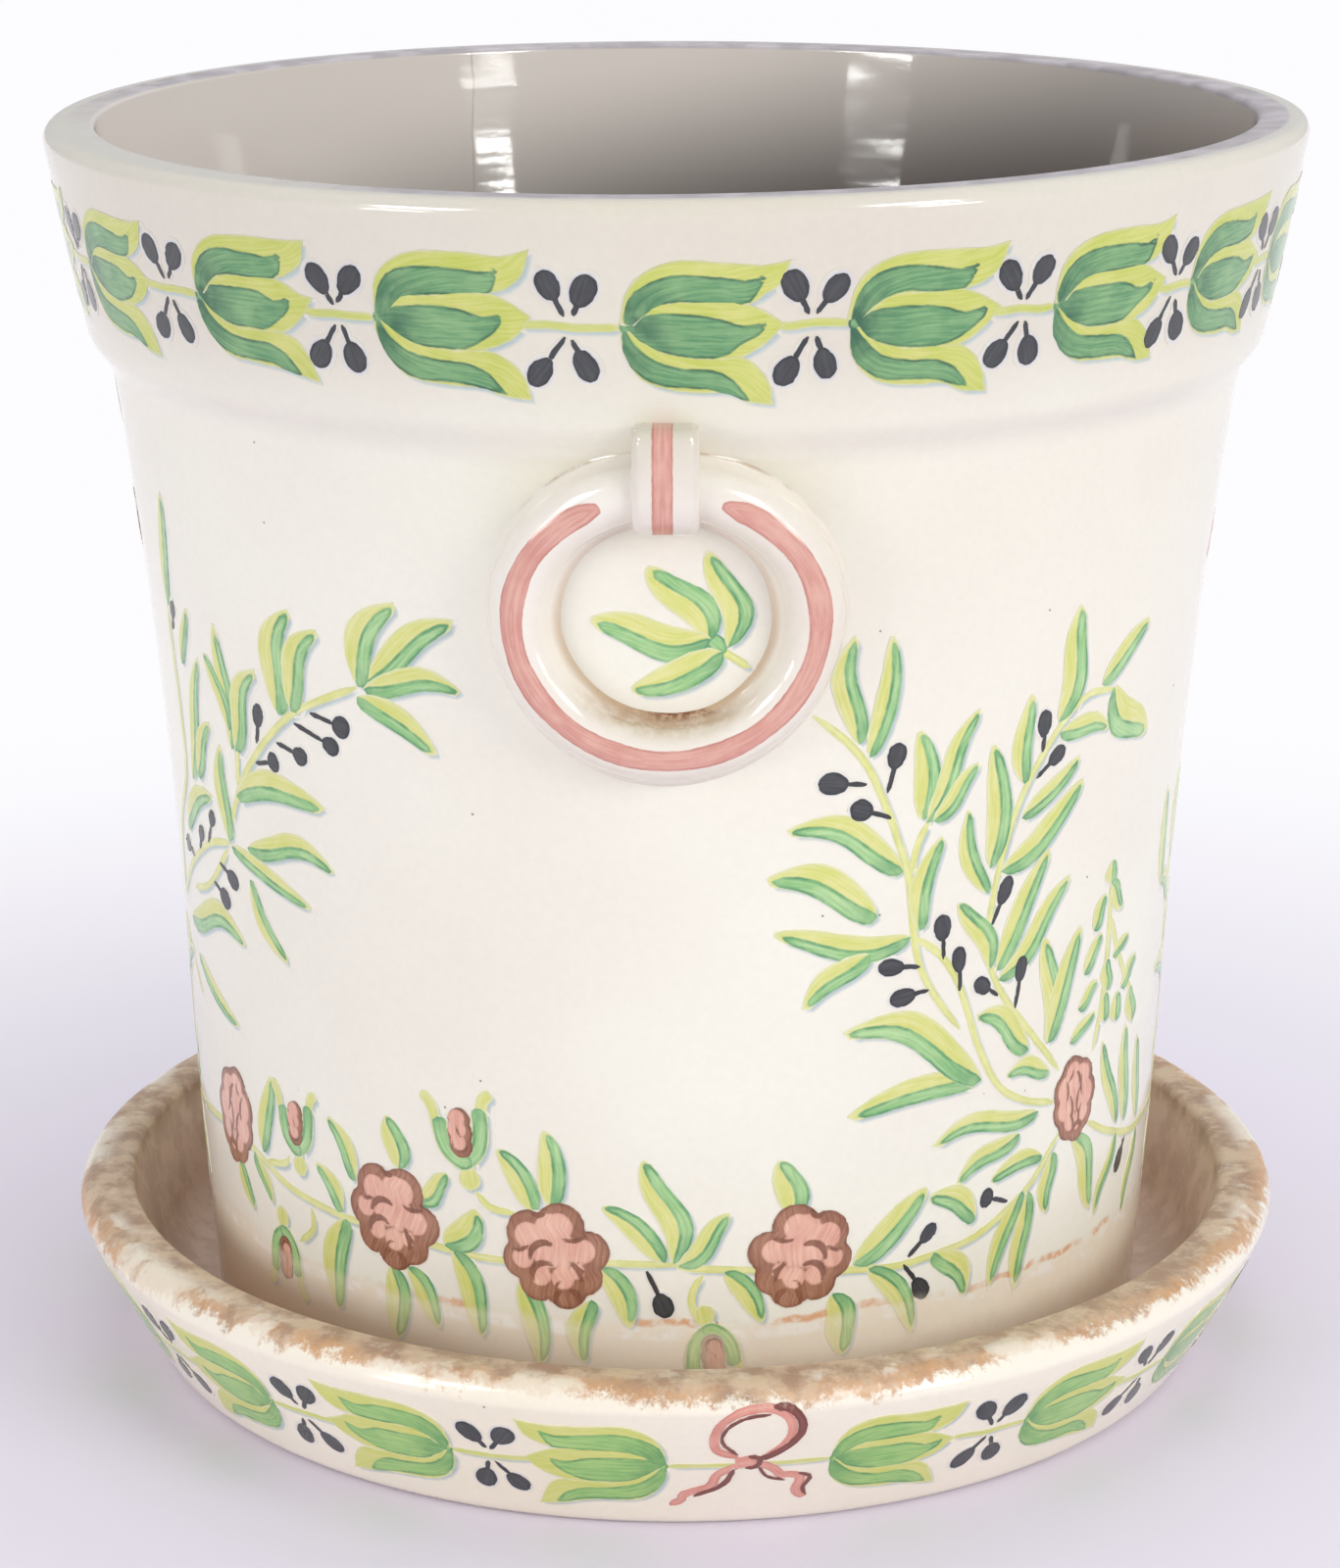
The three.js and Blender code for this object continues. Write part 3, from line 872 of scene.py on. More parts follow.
RIGHT_LEAVES = (
    (19.2, 214, 18.2, 243, 6.5, 0.08), (20.4, 210, 21.9, 242, 5.9, -0.08),
    (24.5, 177, 12, 191, -7.6, 0.12), (21.8, 165, 10, 178, -9, 0.1), (25.8, 158, 11, 163, -7, -0.1),
    (21.2, 154, 14.1, 141, -6.5, 0.05), (26.7, 191, 25.5, 215, 7.3, -0.1),
    (27.3, 190, 32.6, 219, 5.8, 0), (28.1, 190, 32.9, 204, 5.2, -0.05),
    (27.1, 160, 29, 185, 6.2, 0.08), (35.7, 113, 18.6, 133, -9.3, 0.12),
    (35.4, 113, 19.4, 109, -7.1, 0.05), (35.4, 174, 34.5, 208, 7.7, -0.1),
    (35.3, 167, 32, 191, 5.5, 0.1), (36.2, 145, 31.5, 165, 6.4, -0.12),
    (37.4, 144, 43.7, 175, 7, 0), (37.8, 141, 47.6, 165, 6.7, -0.05),
    (37.2, 172, 48.4, 192, 7.5, -0.08), (39.6, 186, 47.4, 199, 5.4, -0.05),
    (39.3, 196, 39.1, 220, 6.3, 0.05), (43.6, 211, 44.9, 242, 8.8, -0.1),
    (50.3, 218, 58.2, 232, 6.6, 0), (44.2, 207, 52.3, 205, 5.9, 0.05),
    (52.5, 215, 61, 199, 10.6, -0.15), (45.7, 118, 43.9, 149, 7.7, -0.12),
    (46.1, 118, 50.2, 149, 7.7, 0), (42.5, 118, 35, 132, -7.3, 0.08),
    (46.2, 109, 39.7, 112, -5.6, 0.1), (62.3, 82, 57, 110, 5.7, 0), (64.8, 81, 62.9, 111, 7.1, 0),
    (69.7, 78, 67.4, 104, 6.1, 0), (72.5, 146, 71.1, 175, 6.7, 0),
)
FERN_LEAVES = (
    (56.1, 158, 55.9, 164, 4.1, 0), (53.3, 146, 55, 155, 3.7, 0), (56.4, 157, 59.1, 148, -3.8, 0),
    (52.1, 134, 54.8, 144, 3.5, 0), (58.3, 135, 61.7, 139, 2.8, 0), (51.5, 124, 54.8, 130, 3.1, 0),
    (61, 124, 64.4, 131, 3.5, 0), (57.1, 126, 56.5, 135, 4.2, 0), (57.1, 117, 56.5, 125, 4.2, 0),
    (50.3, 115, 54.7, 121, 2.8, 0), (60, 115, 59.6, 123, 4.6, 0), (65, 111, 63.2, 122, 4.8, 0),
)
FLANK_LEAVES = (
    (82, 77, 79.5, 96, 7, -0.05), (86.5, 87, 84, 104, 6.5, 0.08), (96, 86, 98.5, 103, -6.5, 0.08),
    (99.5, 77, 102, 95, 7, -0.05), (83.5, 73, 80.5, 50, -7, 0.1), (88, 65, 86, 44, 7.5, -0.05),
    (94, 65, 97, 45, -7, 0.05), (99.5, 74, 103.5, 54, 7, -0.1), (81, 112, 73.5, 120, -6.5, 0.1),
    (79.6, 124, 86.5, 137, 7, 0.1), (78.8, 138, 72.5, 146, -6, 0.1),
    (78.5, 150, 79.5, 176, 7, 0.08), (78.5, 150, 84.5, 168, 6.5, 0.08),
    (98.5, 104, 93, 118, -6, 0.1), (100.5, 114, 107, 124, 6, 0.1),
)
GARLAND_LEAVES = (
    (-53.8, 79, -51.1, 103, 7, 0), (-60.4, 70, -57.4, 58, -5.7, 0), (-55.8, 76, -52.4, 64, 5.1, 0),
    (-37.4, 82, -41, 98, -5.8, 0.08), (-39.8, 71, -43.3, 83, -5.9, 0.08),
    (-30.9, 89, -32.6, 103, 7.8, -0.1), (-28.9, 81, -24.8, 90, 6, -0.15),
    (-25.2, 69, -21.5, 81, 9, -0.2), (-14.7, 83, -18.8, 99, 7, -0.1),
    (-12.6, 85, -13.5, 106, 7.6, -0.08), (-39.2, 68, -41.6, 40, -9.2, 0.08),
    (-32.6, 58, -32.8, 37, -8.4, -0.1), (-30.2, 59, -26.8, 43, -6.6, -0.1),
    (-24.3, 67, -21.4, 43, -7.6, -0.1), (-16.4, 61, -14.5, 37, -7.3, -0.1),
    (-8.4, 57, -9.6, 39, -6.8, 0.1), (-7.1, 67, -4.4, 50, -7.1, -0.15),
    (-0.5, 70, -7.2, 85, 6.4, -0.1), (0.6, 70, -2.8, 99, 8.1, -0.12),
    (1.4, 69, 6.6, 84, 6.1, -0.08), (13.7, 82, 11.8, 98, 8.4, -0.12),
    (21, 66, 29.3, 85, 8.1, -0.05), (36, 72, 29.9, 82, -7.3, 0.12),
    (6.4, 66, 10.3, 51, -6.3, -0.12), (18.5, 57, 19.6, 39, -8.5, -0.1),
    (22.7, 63, 28.2, 42, -6.8, -0.15), (30.9, 64, 35.6, 50, 7.3, 0.12),
    (44.9, 98, 29.8, 96, -5.9, 0.06), (42, 93, 33.4, 84, -5.8, 0.05),
    (46, 84, 38.2, 82, -5.4, 0.08), (43.2, 75, 38.7, 50, -6, 0.05), (44.3, 74, 42.9, 46, -6.5, 0),
    (48.2, 83, 47.4, 66, -6.2, 0.05), (52, 85, 56.7, 60, -8, -0.12), (62.4, 78, 58.2, 57, -4.6, 0),
    (70.2, 73, 66.8, 50, -4.9, 0),
)
# A stem: the angles and heights that it passes through.
LEFT_STEMS = (
    ((-56.3, 168), (-52.9, 184), (-48.8, 197), (-42.7, 211), (-36.9, 219), (-32.5, 224)),
    ((-75.4, 139), (-68.8, 153), (-61.5, 164), (-55.7, 168)),
    ((-56.4, 166), (-59.8, 157), (-63.6, 150), (-68.5, 146)),
    ((-75.4, 139), (-73.2, 161), (-67.6, 180), (-66.8, 199), (-66.9, 215), (-66.7, 230)),
    ((-52.8, 186), (-52.1, 198)),
    ((-78, 131), (-73.8, 123), (-69.5, 113)),
)
FLANK_STEMS = (
    ((76.8, 75), (84, 74), (90.5, 77), (97, 75), (104.9, 76)),
    ((94, 84), (98, 100), (101, 116), (102, 131)),
    ((87, 84), (82, 106), (79, 127), (78.5, 150)),
)
RIGHT_STEMS = (
    ((47.8, 99), (42.5, 103), (38.3, 110), (35.1, 124), (33.4, 135), (31.8, 144), (29.5, 152),
     (26.1, 158)),
    ((32.7, 129), (29.8, 138), (27.6, 147), (26.6, 155), (26, 165), (25.4, 175), (24.2, 184),
     (22.5, 195), (20.2, 207), (17.6, 215), (14.3, 222)),
    ((25.6, 175), (26.2, 183), (27.4, 190)),
    ((48.3, 108), (43.1, 122), (38.9, 134), (36.5, 144), (35.7, 153), (36, 162), (36.7, 173),
     (37.8, 183), (39.3, 193), (41.8, 203), (44.6, 211), (48, 216), (52.5, 215)),
    ((54.8, 88), (60.3, 81), (68.2, 75), (76.8, 75)),
    ((54.9, 109), (56, 121), (56.5, 139), (56.1, 159)),
    ((56.4, 148), (59.7, 133), (63.7, 120), (65.5, 111)),
)
GARLAND_STEMS = (
    ((-75.1, 76), (-63.3, 79), (-55.6, 77), (-49.6, 72), (-43.6, 70), (-38.2, 69), (-32.4, 69),
     (-27.1, 68), (-22.5, 67), (-18.5, 67), (-12.3, 68), (-6.2, 69), (2, 69)),
    ((0.9, 68), (8.3, 67), (14.6, 65), (20.8, 64), (25.7, 63), (30.3, 64), (35.8, 66), (40.6, 71),
     (44.7, 77), (47.3, 84), (49.2, 89)),
    ((-21.4, 86), (-19.7, 82), (-16.7, 81)),
    ((-48.4, 81), (-49.4, 78), (-53.1, 76)),
    ((-44.9, 68), (-44.7, 62), (-47.5, 56)),
    ((3.8, 66), (2.6, 60), (3, 53)),
)
# A berry: the angle and height of its middle, those of its stalk's end, its length and its width.
BERRIES = (
    (-47.5, 209, -48.2, 201, 7.2, 4.5), (-45.6, 197, -48.7, 195, 4.7, 5.7),
    (-41.2, 201, -44.7, 203, 5.6, 5.3), (-36.6, 206, -41.6, 210, 5.8, 5.2),
    (-35, 212, -39.1, 214, 6.1, 6.3), (-64.8, 229, -65.7, 223, 5.8, 3.8),
    (-60.1, 172, -61.8, 164, 5.6, 4.2), (-63.9, 165, -64.9, 160, 5.6, 4.2),
    (-56, 157, -59, 160, 7, 5.4), (-58.4, 150, -61.2, 153, 7, 5.8),
    (-69.9, 158, -67.5, 156, 4.7, 5.3), (16.7, 203, 20.2, 202, 8.3, 6.2),
    (19.8, 195, 23.1, 192, 6.6, 6.1), (23.3, 209, 22.5, 199, 7.4, 5.3),
    (41.4, 211, 41.5, 203, 7.8, 5.1), (43.7, 201, 40.9, 196, 7, 5),
    (37.7, 166, 36.2, 157, 8.3, 4.8), (29.8, 159, 30.1, 150, 7.6, 5.4),
    (32.1, 149, 32.4, 140, 7.6, 4.7), (35.4, 140, 37.6, 136, 6.4, 4.9),
    (40.8, 142, 40.3, 131, 7.6, 4.5), (23.9, 150, 27.3, 149, 8, 4.9),
    (25.4, 141, 28.5, 142, 8, 5.2), (-0.5, 57, -2.3, 67, 7.6, 6), (29.9, 71, 27.4, 65, 6.7, 4.3),
    (29.2, 55, 26.9, 63, 7.6, 5.4), (37.8, 77, 41, 74, 4.7, 5.9), (64.3, 69, 65.8, 75, 8.4, 4.7),
)


def flow(handles, count):
    """Evenly spaced points on a smooth line through some handles; many are smooth already."""
    line = np.array(handles, float)
    if 2 < len(line) < 14:
        grown = np.vstack([2 * line[0] - line[1], line, 2 * line[-1] - line[-2]])
        t = np.linspace(0, 1, 9)[:-1, None]
        parts = [
            0.5 * (2 * b + (c - a) * t + (2 * a - 5 * b + 4 * c - d) * t**2)
            + 0.5 * (3 * b - a - 3 * c + d) * t**3
            for a, b, c, d in zip(grown, grown[1:], grown[2:], grown[3:])
        ]
        line = np.vstack(parts + [line[-1:]])
    gone = lengths_along(line)
    wanted = np.linspace(0, gone[-1], count)
    return np.stack([np.interp(wanted, gone, line[:, k]) for k in (0, 1)], axis=1)


def heading(line):
    """The way that a line goes at each of its points, and the way to its left."""
    travel = np.gradient(line, axis=0)
    travel /= np.maximum(np.hypot(*travel.T), 1e-6)[:, None]
    return travel, np.stack([-travel[:, 1], travel[:, 0]], axis=1)


def closed(left, right):
    """The outline between two edge lines."""
    return np.vstack([left, right[::-1]])


def inside_by(points, outline):
    """How far each point lies inside a closed outline, in mm; less than nothing is outside."""
    x, y = points[:, 0, None], points[:, 1, None]
    x0, y0 = outline.T
    x1, y1 = np.roll(outline, -1, axis=0).T
    dx, dy = x1 - x0, y1 - y0
    share = np.clip(((x - x0) * dx + (y - y0) * dy) / np.maximum(dx**2 + dy**2, 1e-12), 0, 1)
    near = np.hypot(x - x0 - share * dx, y - y0 - share * dy).min(axis=1)
    spans = (y0 > y) != (y1 > y)
    level = np.where(np.abs(dy) < 1e-12, 1e-12, dy)
    inside = (spans & (x < x0 + (y - y0) * dx / level)).sum(axis=1) % 2 == 1
    return np.where(inside, near, -near)


def brush_mark(left, right, stroke, chance, rows, columns, spare=0.02):
    """One mark between two edge lines, in mm: its grid of points, what each lies inside, and where
    it lies along and across the brush's way."""
    outline = closed(flow(left, 44), flow(right, 44))
    x, y = outline.T
    if (x * np.roll(y, -1) - y * np.roll(x, -1)).sum() > 0:
        left, right = right, left
    left, right = flow(left, rows), flow(right, rows)
    middle = (left + right) / 2
    travel, sideways = heading(middle)
    sway = np.random.default_rng(int(chance * 1e6)).normal(0, 0.09, (2, rows, 2))
    left, right = left + sideways * spare + sway[0], right - sideways * spare + sway[1]
    for line in (left, right):
        line[0] -= travel[0] * spare
        line[-1] += travel[-1] * spare
    share = np.linspace(0, 1, columns)[None, :, None]
    points = (left[:, None] * (1 - share) + right[:, None] * share).reshape(-1, 2)
    gone = lengths_along(middle)
    width = np.hypot(*(right - left).T)
    across = ((share[0, :, 0] - 0.5) * width[:, None]).ravel()
    within = np.full(len(points), -9.0) if stroke is None else inside_by(points, stroke)
    insets = [inside_by(points, outline), within, np.repeat(gone / gone[-1], columns)]
    brush = [np.repeat(gone, columns), across, np.full(len(points), chance)]
    return (rows, columns), points, np.stack(insets, axis=1), np.stack(brush, axis=1)


def shadow_of(left, right, chance, rows):
    """The blue-grey shadow under a mark."""
    return brush_mark(left + SHADOW_SHIFT, right + SHADOW_SHIFT, None, chance, rows, 5, 0.75)


def leaf_lines(base, tip, width, bend, end, curl):
    """A leaf's edge lines, and the outline of the green stroke in it."""
    length = np.hypot(*(tip - base))
    ahead = (tip - base) / length
    base, length = base - 0.8 * ahead, length + 0.8
    toward = math.copysign(1, width) * np.array([-ahead[1], ahead[0]])
    width = abs(width)

    def line(share, off):
        return base + ahead * (share * length)[:, None] + toward * off[:, None]

    def axis(t):
        return length * (bend * np.sin(np.pi * t) + curl * np.sin(2 * np.pi * t))

    def blunt(t, power):
        return np.sqrt(np.clip(1 - np.abs(2 * t - 1) ** power, 0, 1))

    t = np.linspace(0, 1, 31)
    s = end * t
    swelling, tapering = 0.86 + 0.14 * np.sin(np.pi * t**0.8), 1 - 0.22 * t**2
    half = 0.235 * width * blunt(t, 9) * swelling * tapering
    middle = axis(s) - 0.2 * width * blunt(s, 3)
    stroke = closed(line(s, middle + half), line(s, middle - half))
    tipped = np.clip((t - end) / (1 - end), 0, 1)
    rim = (0.235 * width * swelling * tapering * (1 - 0.45 * tipped) + 0.06) * blunt(t, 18)
    inner = np.interp(t, s, middle)
    swell = axis(t) + 0.58 * width * np.abs(np.sin(np.pi * t**0.82)) ** 0.75
    return line(t, np.maximum(inner + rim, swell)), line(t, inner - rim), stroke


def stem_lines(points, width):
    """A stem's two edge lines."""
    middle = flow(points, 40)
    fullness = np.clip(8 * np.sin(np.linspace(0.02, np.pi - 0.02, 40)), 0.35, 1)
    off = heading(middle)[1] * (width / 2 * fullness)[:, None]
    return middle + off, middle - off


def oval_lines(centre, tail, long, wide):
    """The two sides of an oval that points away from its tail."""
    away = centre - tail
    away /= np.hypot(*away)
    t = np.radians(np.linspace(-90, 90, 25))
    side = np.array([-away[1], away[0]])
    middle = centre + away * (long / 2 * np.sin(t))[:, None]
    off = side * (wide / 2 * np.cos(t) * (1 + 0.1 * np.sin(t)))[:, None]
    return middle + off, middle - off


def berry_marks(spot, tail, stalk, long, wide, bleed, chance):
    """A berry with its stalk, and the stain that has bled round the berry."""
    lines = oval_lines(spot, tail, long, wide)
    berry = [brush_mark(*stalk, None, chance, 6, 4), brush_mark(*lines, None, chance, 12, 7)]
    lines = oval_lines(spot, tail, long + bleed, wide + bleed)
    return berry, [brush_mark(*lines, None, chance, 10, 7)]


blanks = {}


def blank_mark(rows, columns):
    """A flat grid that becomes one mark. Each size of it is made once and copied."""
    if (rows, columns) not in blanks:
        bpy.ops.object.select_all(action="DESELECT")
        bpy.ops.mesh.primitive_grid_add(
            x_subdivisions=columns - 1, y_subdivisions=rows - 1, size=0.01
        )
        blanks[rows, columns] = bpy.context.object
    piece = blanks[rows, columns].copy()
    piece.data = piece.data.copy()
    scene.collection.objects.link(piece)
    return piece


def lay_marks(name, marks, paint, place, level, cycle=8, step=0.005):
    """Lays marks on a wall, at a level in mm, as one sheet of paint that sinks into the glaze."""
    laid = []
    for order, (shape, points, insets, brush) in enumerate(marks):
        piece = blank_mark(*shape)
        put_points(piece, place(points, level + step * (order % cycle)))
        keep_value(piece, "inset", insets)
        keep_value(piece, "brush", brush)
        laid.append(piece)
    bpy.ops.object.select_all(action="DESELECT")
    for piece in laid:
        piece.select_set(True)
    bpy.context.view_layer.objects.active = laid[0]
    if len(laid) > 1:
        bpy.ops.object.join()
    sheet = bpy.context.object
    sheet.name = name
    body = sheet.modifiers.new("body", "SOLIDIFY")
    body.thickness = 0.00022
    body.offset = -1
    bpy.ops.object.modifier_apply(modifier="body")
    smooth(sheet, 60)
    sheet.data.materials.append(paint)
    return sheet


def on_body(points, lift):
    """The place on the pot's wall of points given in mm round the body and up from the floor."""
    turn = points[:, 0] / BODY_FACE
    reach = outer_radius(points[:, 1]) + lift
    spots = np.stack([reach * np.sin(turn), -reach * np.cos(turn), points[:, 1]], axis=1)
    return settle(spots / 1000)


def on_collar(points, lift):
    """The same for points given in mm round the collar."""
    return on_body(points * (BODY_FACE / COLLAR_FACE, 1), lift)


def painted_material(name, ground_group, coats, soiled=False):
    """A glaze with coats of brushed colour over it. A coat is the channel that holds its inset, its
    thin, full and pooled colours, how soft, pooled and covering it is, how far out it already
    covers, how far in it is thinner, and how much has run to its foot."""
    material, tree, shader = new_material(name)
    stain = {"Soiled": value_of(tree, "soiled")} if soiled else {}
    ground = add_node(tree, "Group", stain, node_tree=ground_group)
    insets, (along, across, chance) = (
        axes(value_of(tree, name, "Vector")) for name in ("inset", "brush")
    )
    clear = 1.0 - ground["Veil"] * 0.42
    colour = ground["Color"]
    for channel, colours, soft, pool, cover, lead, fade, settled in coats:
        if settled:
            settled = ease(insets[2], 0.4, 0.02) * settled
        colour = brush_over(
            colour, colours, insets[channel], along, across, Chance=chance, Soft=soft, Lead=lead,
            Fade=fade, Settled=settled, Pool=pool, Cover=clear * cover,
        )
    finish_glaze(shader, colour, ground["Roughness"], ground["Height"])
    return material


SHADOW_COAT = (0, ("AFC2C6", "9BB3B9", "9BB3B9"), 1.7, 0.0, 0.8, 0.6, 0.01, 0.0)
BLEED_COAT = (0, ("DADCEA", "C2C7DE", "C2C7DE"), 1.3, 0.0, 0.5, 0.0, 0.01, 0.0)
BERRY_COAT = (0, ("4D4E52", "38393D", "28292D"), 0.3, 0.6, 1.0, 0.3, 0.01, 0.0)
STEM_COAT = (0, ("F0EDB4", "DFDF82", "BFC56C"), 0.6, 0.6, 0.95, 0.4, 0.01, 0.0)
COLLAR_COATS = (
    (0, ("D3D37E", "BCC552", "A1B341"), 0.5, 0.25, 0.97, 0.35, 1.0, 0.01),
    (1, ("8BB37E", "578E61", "285A47"), 0.55, 0.98, 1.0, 0.2, 0.01, 0.9),
)
LEAF_COATS = (
    (0, ("E3E09A", "D1D56C", "BAC550"), 0.6, 0.25, 0.96, 0.34, 1.3, 0.01),
    (1, ("BCDCA2", "88BF7D", "509466"), 0.55, 0.95, 0.98, 0.42, 0.01, 0.7),
)
shadow_paint, collar_paint, leaf_paint, stem_paint, bleed_paint, berry_paint = (
    painted_material(name + "_paint", pot_ground, coats)
    for name, coats in (
        ("shadow", (SHADOW_COAT,)),
        ("collar", COLLAR_COATS),
        ("leaf", LEAF_COATS),
        ("stem", (STEM_COAT,)),
        ("bleed", (BLEED_COAT,)),
        ("berry", (BERRY_COAT,)),
    )
)


# The collar's band. The same spray of three leaves goes round it nineteen times, each opening to
# the right, with a stem and four berries before the next.
BAND_HEIGHT = 326.0
BAND_STARTS = (-65.4, -44.8, -24.95, -3.6, 15.3, 34.5, 51.8) + tuple(
    68.8 + 18.82 * k for k in range(12)
)
SPRAY_LENGTH = 55.6
CALYX_SQUEEZE = 0.962
# A leaf of the spray: its two edge lines, and those of its green stroke, in mm from its base.
CALYX = (
    (
        ((2.8, -0.5), (6.8, -3.4), (11.9, -5.6), (22, -6.4), (29, -6.6), (34.1, -8.8),
         (37.6, -13.4), (39.6, -19.2)),
        ((-0.2, -1.3), (0.5, -6.8), (3.8, -11.9), (9.3, -15.2), (19.4, -16.2), (27, -16.7),
         (32.6, -18.4), (39.6, -19.2)),
        ((0.9, 0), (4.3, -4.6), (9.3, -8.2), (16.9, -9.9), (25.5, -10.6), (31.1, -13), (35, -18)),
        ((-0.1, -1.2), (0.9, -7.3), (4.6, -11.9), (10.4, -14.5), (19.4, -15.3), (25.5, -15.7),
         (30.6, -17.2), (35, -18)),
    ),
    (
        ((1, 0.6), (5.3, 5.6), (14.4, 7.6), (24.5, 7.8), (32.1, 6.5), (37.1, 3.8), (41.2, 1.8)),
        ((1.8, -0.3), (4.8, -3.3), (11.9, -6.6), (24.5, -7.3), (30.6, -6.6), (37.1, -3.3),
         (41.2, 0.8)),
        ((0, 0.9), (6.8, 3.2), (16.9, 3.5), (24.5, 2.9), (30.1, 1), (36, 2.3)),
        ((0, -0.9), (5, -3.6), (11.9, -6.3), (19.4, -6.9), (25.5, -6.5), (30.6, -3.8), (34.6, -0.8),
         (36, 2.3)),
    ),
    (
        ((-0.2, 0.8), (0.5, 8.3), (4.3, 13.4), (11.9, 16.7), (24.5, 16.9), (34.6, 16.7),
         (41.4, 17.9)),
        ((3.3, 0.8), (6.3, 3.8), (9.3, 5.8), (14.4, 6.6), (24.5, 6.6), (32.1, 7.1), (36.1, 8.8),
         (39.6, 11.9), (41.4, 17.9)),
        ((0, 1.2), (1.8, 7.6), (6.2, 11.6), (12.4, 13.4), (20, 13.2), (25.5, 12.4), (29.5, 12.1),
         (34.1, 14.1)),
        ((2.4, 0.2), (5.4, 3.6), (9.3, 5.9), (14.4, 6.7), (22, 6.7), (29.5, 6.9), (32.1, 8.4),
         (34.1, 14.1)),
    ),
)
BERRY_PLACES = (
    (41.6, 9.5, 45.4, 2.6), (50.6, 9.2, 46.9, 2.8), (39.9, -10.8, 45.2, -2.6),
    (49.8, -10.4, 47.2, -3),
)
chances = np.random.default_rng(11)


def spin(degrees):
    """A turn in the plane, for points written as rows."""
    ahead, aside = math.cos(math.radians(degrees)), math.sin(math.radians(degrees))
    return np.array([[ahead, aside], [-aside, ahead]])


def band_marks(base, height, spacing, scale, way):
    """The shadows, leaves, stems, bleeds and berries of one repeat of the band."""
    turn = spin(chances.uniform(-1.6, 1.6))
    grow = scale * chances.uniform(0.96, 1.04)
    origin = np.array([base, height])
    shadows, leaves, stems, bleeds, berries = marks = [[] for _ in range(5)]
    for petal in CALYX:
        chance = chances.uniform()
        lines = []
        for handles in petal:
            line = np.array(handles) * (CALYX_SQUEEZE, 1)
            line = line + chances.normal(0, 0.22, line.shape)
            lines.append(line @ turn * grow * (way, 1) + origin)
        stretch = chances.uniform(0.93, 1.04)
        lines[2:] = [origin + (line - origin) * (stretch, 1) for line in lines[2:]]
        for k in (0, 2):
            lines[k + 1][-1] = lines[k][-1]
        stroke = closed(flow(lines[2], 30), flow(lines[3], 30))
        leaves.append(brush_mark(*lines[:2], stroke, chance, 22, 10))
        leaves[-1][2][:, 1] += 0.15
        shadows.append(shadow_of(*lines[:2], chance, 16))
    knot = oval_lines(origin + (way * 1.9, 0.1), origin + (way * 6, 0.1), 5.0 * scale, 4.4 * scale)
    stems.append(brush_mark(*knot, closed(*knot), chances.uniform(), 8, 6))
    rises = (0.8, *chances.uniform(-0.5, 0.5, 3), 0)
    reaches = (36.0 * scale, 40.0, 46.0, 51.0, spacing + 0.5)
    lines = stem_lines([(base + way * x, height + z) for x, z in zip(reaches, rises)], 2.1)
    stems.append(brush_mark(*lines, None, chances.uniform(), 10, 4))
    shadows.append(shadow_of(*lines, chances.uniform(), 10))
    slack = spacing - SPRAY_LENGTH
    for x, y, tail_x, tail_y in BERRY_PLACES:
        spot = origin + (way * (x + slack / 2), y * scale) + chances.normal(0, 0.4, 2)
        tail = origin + (way * (tail_x + slack / 2), tail_y) + chances.normal(0, 0.25, 2)
        long, wide = chances.uniform(7.8, 9.0), chances.uniform(5.5, 6.5)
        chance = chances.uniform()
        stalk = stem_lines((spot + 0.3 * (tail - spot), (spot + tail) / 2, tail), 1.35)
        berry, bleed = berry_marks(spot, tail, stalk, long, wide, 2.6, chance)
        berries += berry
        bleeds += bleed
        bleeds.append(brush_mark(*stem_lines((spot, tail), 3.0), None, chance, 6, 5))
    return marks


def gathered(groups):
    """The marks of several repeats, kind by kind."""
    return [sum(kind, []) for kind in zip(*groups)]


starts = [math.radians(turn) * COLLAR_FACE for turn in BAND_STARTS + (BAND_STARTS[0] + 360,)]
shadows, leaves, stems, bleeds, berries = gathered(
    [band_marks(a, BAND_HEIGHT, b - a, 1.0, 1) for a, b in zip(starts, starts[1:])]
)
for name, marks, level, cycle, step, paint, slot in (
    ("collar_leaf_shadows", shadows, 0.05, 4, 0.008, shadow_paint, "leaf_paint"),
    ("collar_berry_bleed", bleeds, 0.09, 8, 0.004, bleed_paint, "berry_paint"),
    ("collar_stems", stems, 0.13, 1, 0.0, collar_paint, "leaf_paint"),
    ("collar_leaves", leaves, 0.15, 3, 0.025, collar_paint, "leaf_paint"),
    ("collar_berries", berries, 0.21, 2, 0.03, berry_paint, "berry_paint"),
):
    sheet = lay_marks(name, marks, paint, on_collar, level, cycle, step)
    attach(sheet, "pot")


# The body's painting. Two olive sprays rise at the sides of each face from a garland of roses and
# buds that runs round the foot, and a sprig of four leaves fills each ring.
SPRIG_LEAVES = (
    (4.07, 243.9, -2.03, 262.4, 7.6, -0.12), (3.97, 243.9, -7.15, 249.2, -8, -0.1),
    (5.77, 242.1, 3.59, 266.9, 6.4, -0.16), (5.09, 239.9, -3.46, 230.5, -7, -0.08),
)
SPRIG_STEM = ((5, 241), (6.5, 238.4), (7.94, 235.8))


def at(angle, height):
    """A place on the body, in mm."""
    return np.array([math.radians(angle) * BODY_FACE, height])


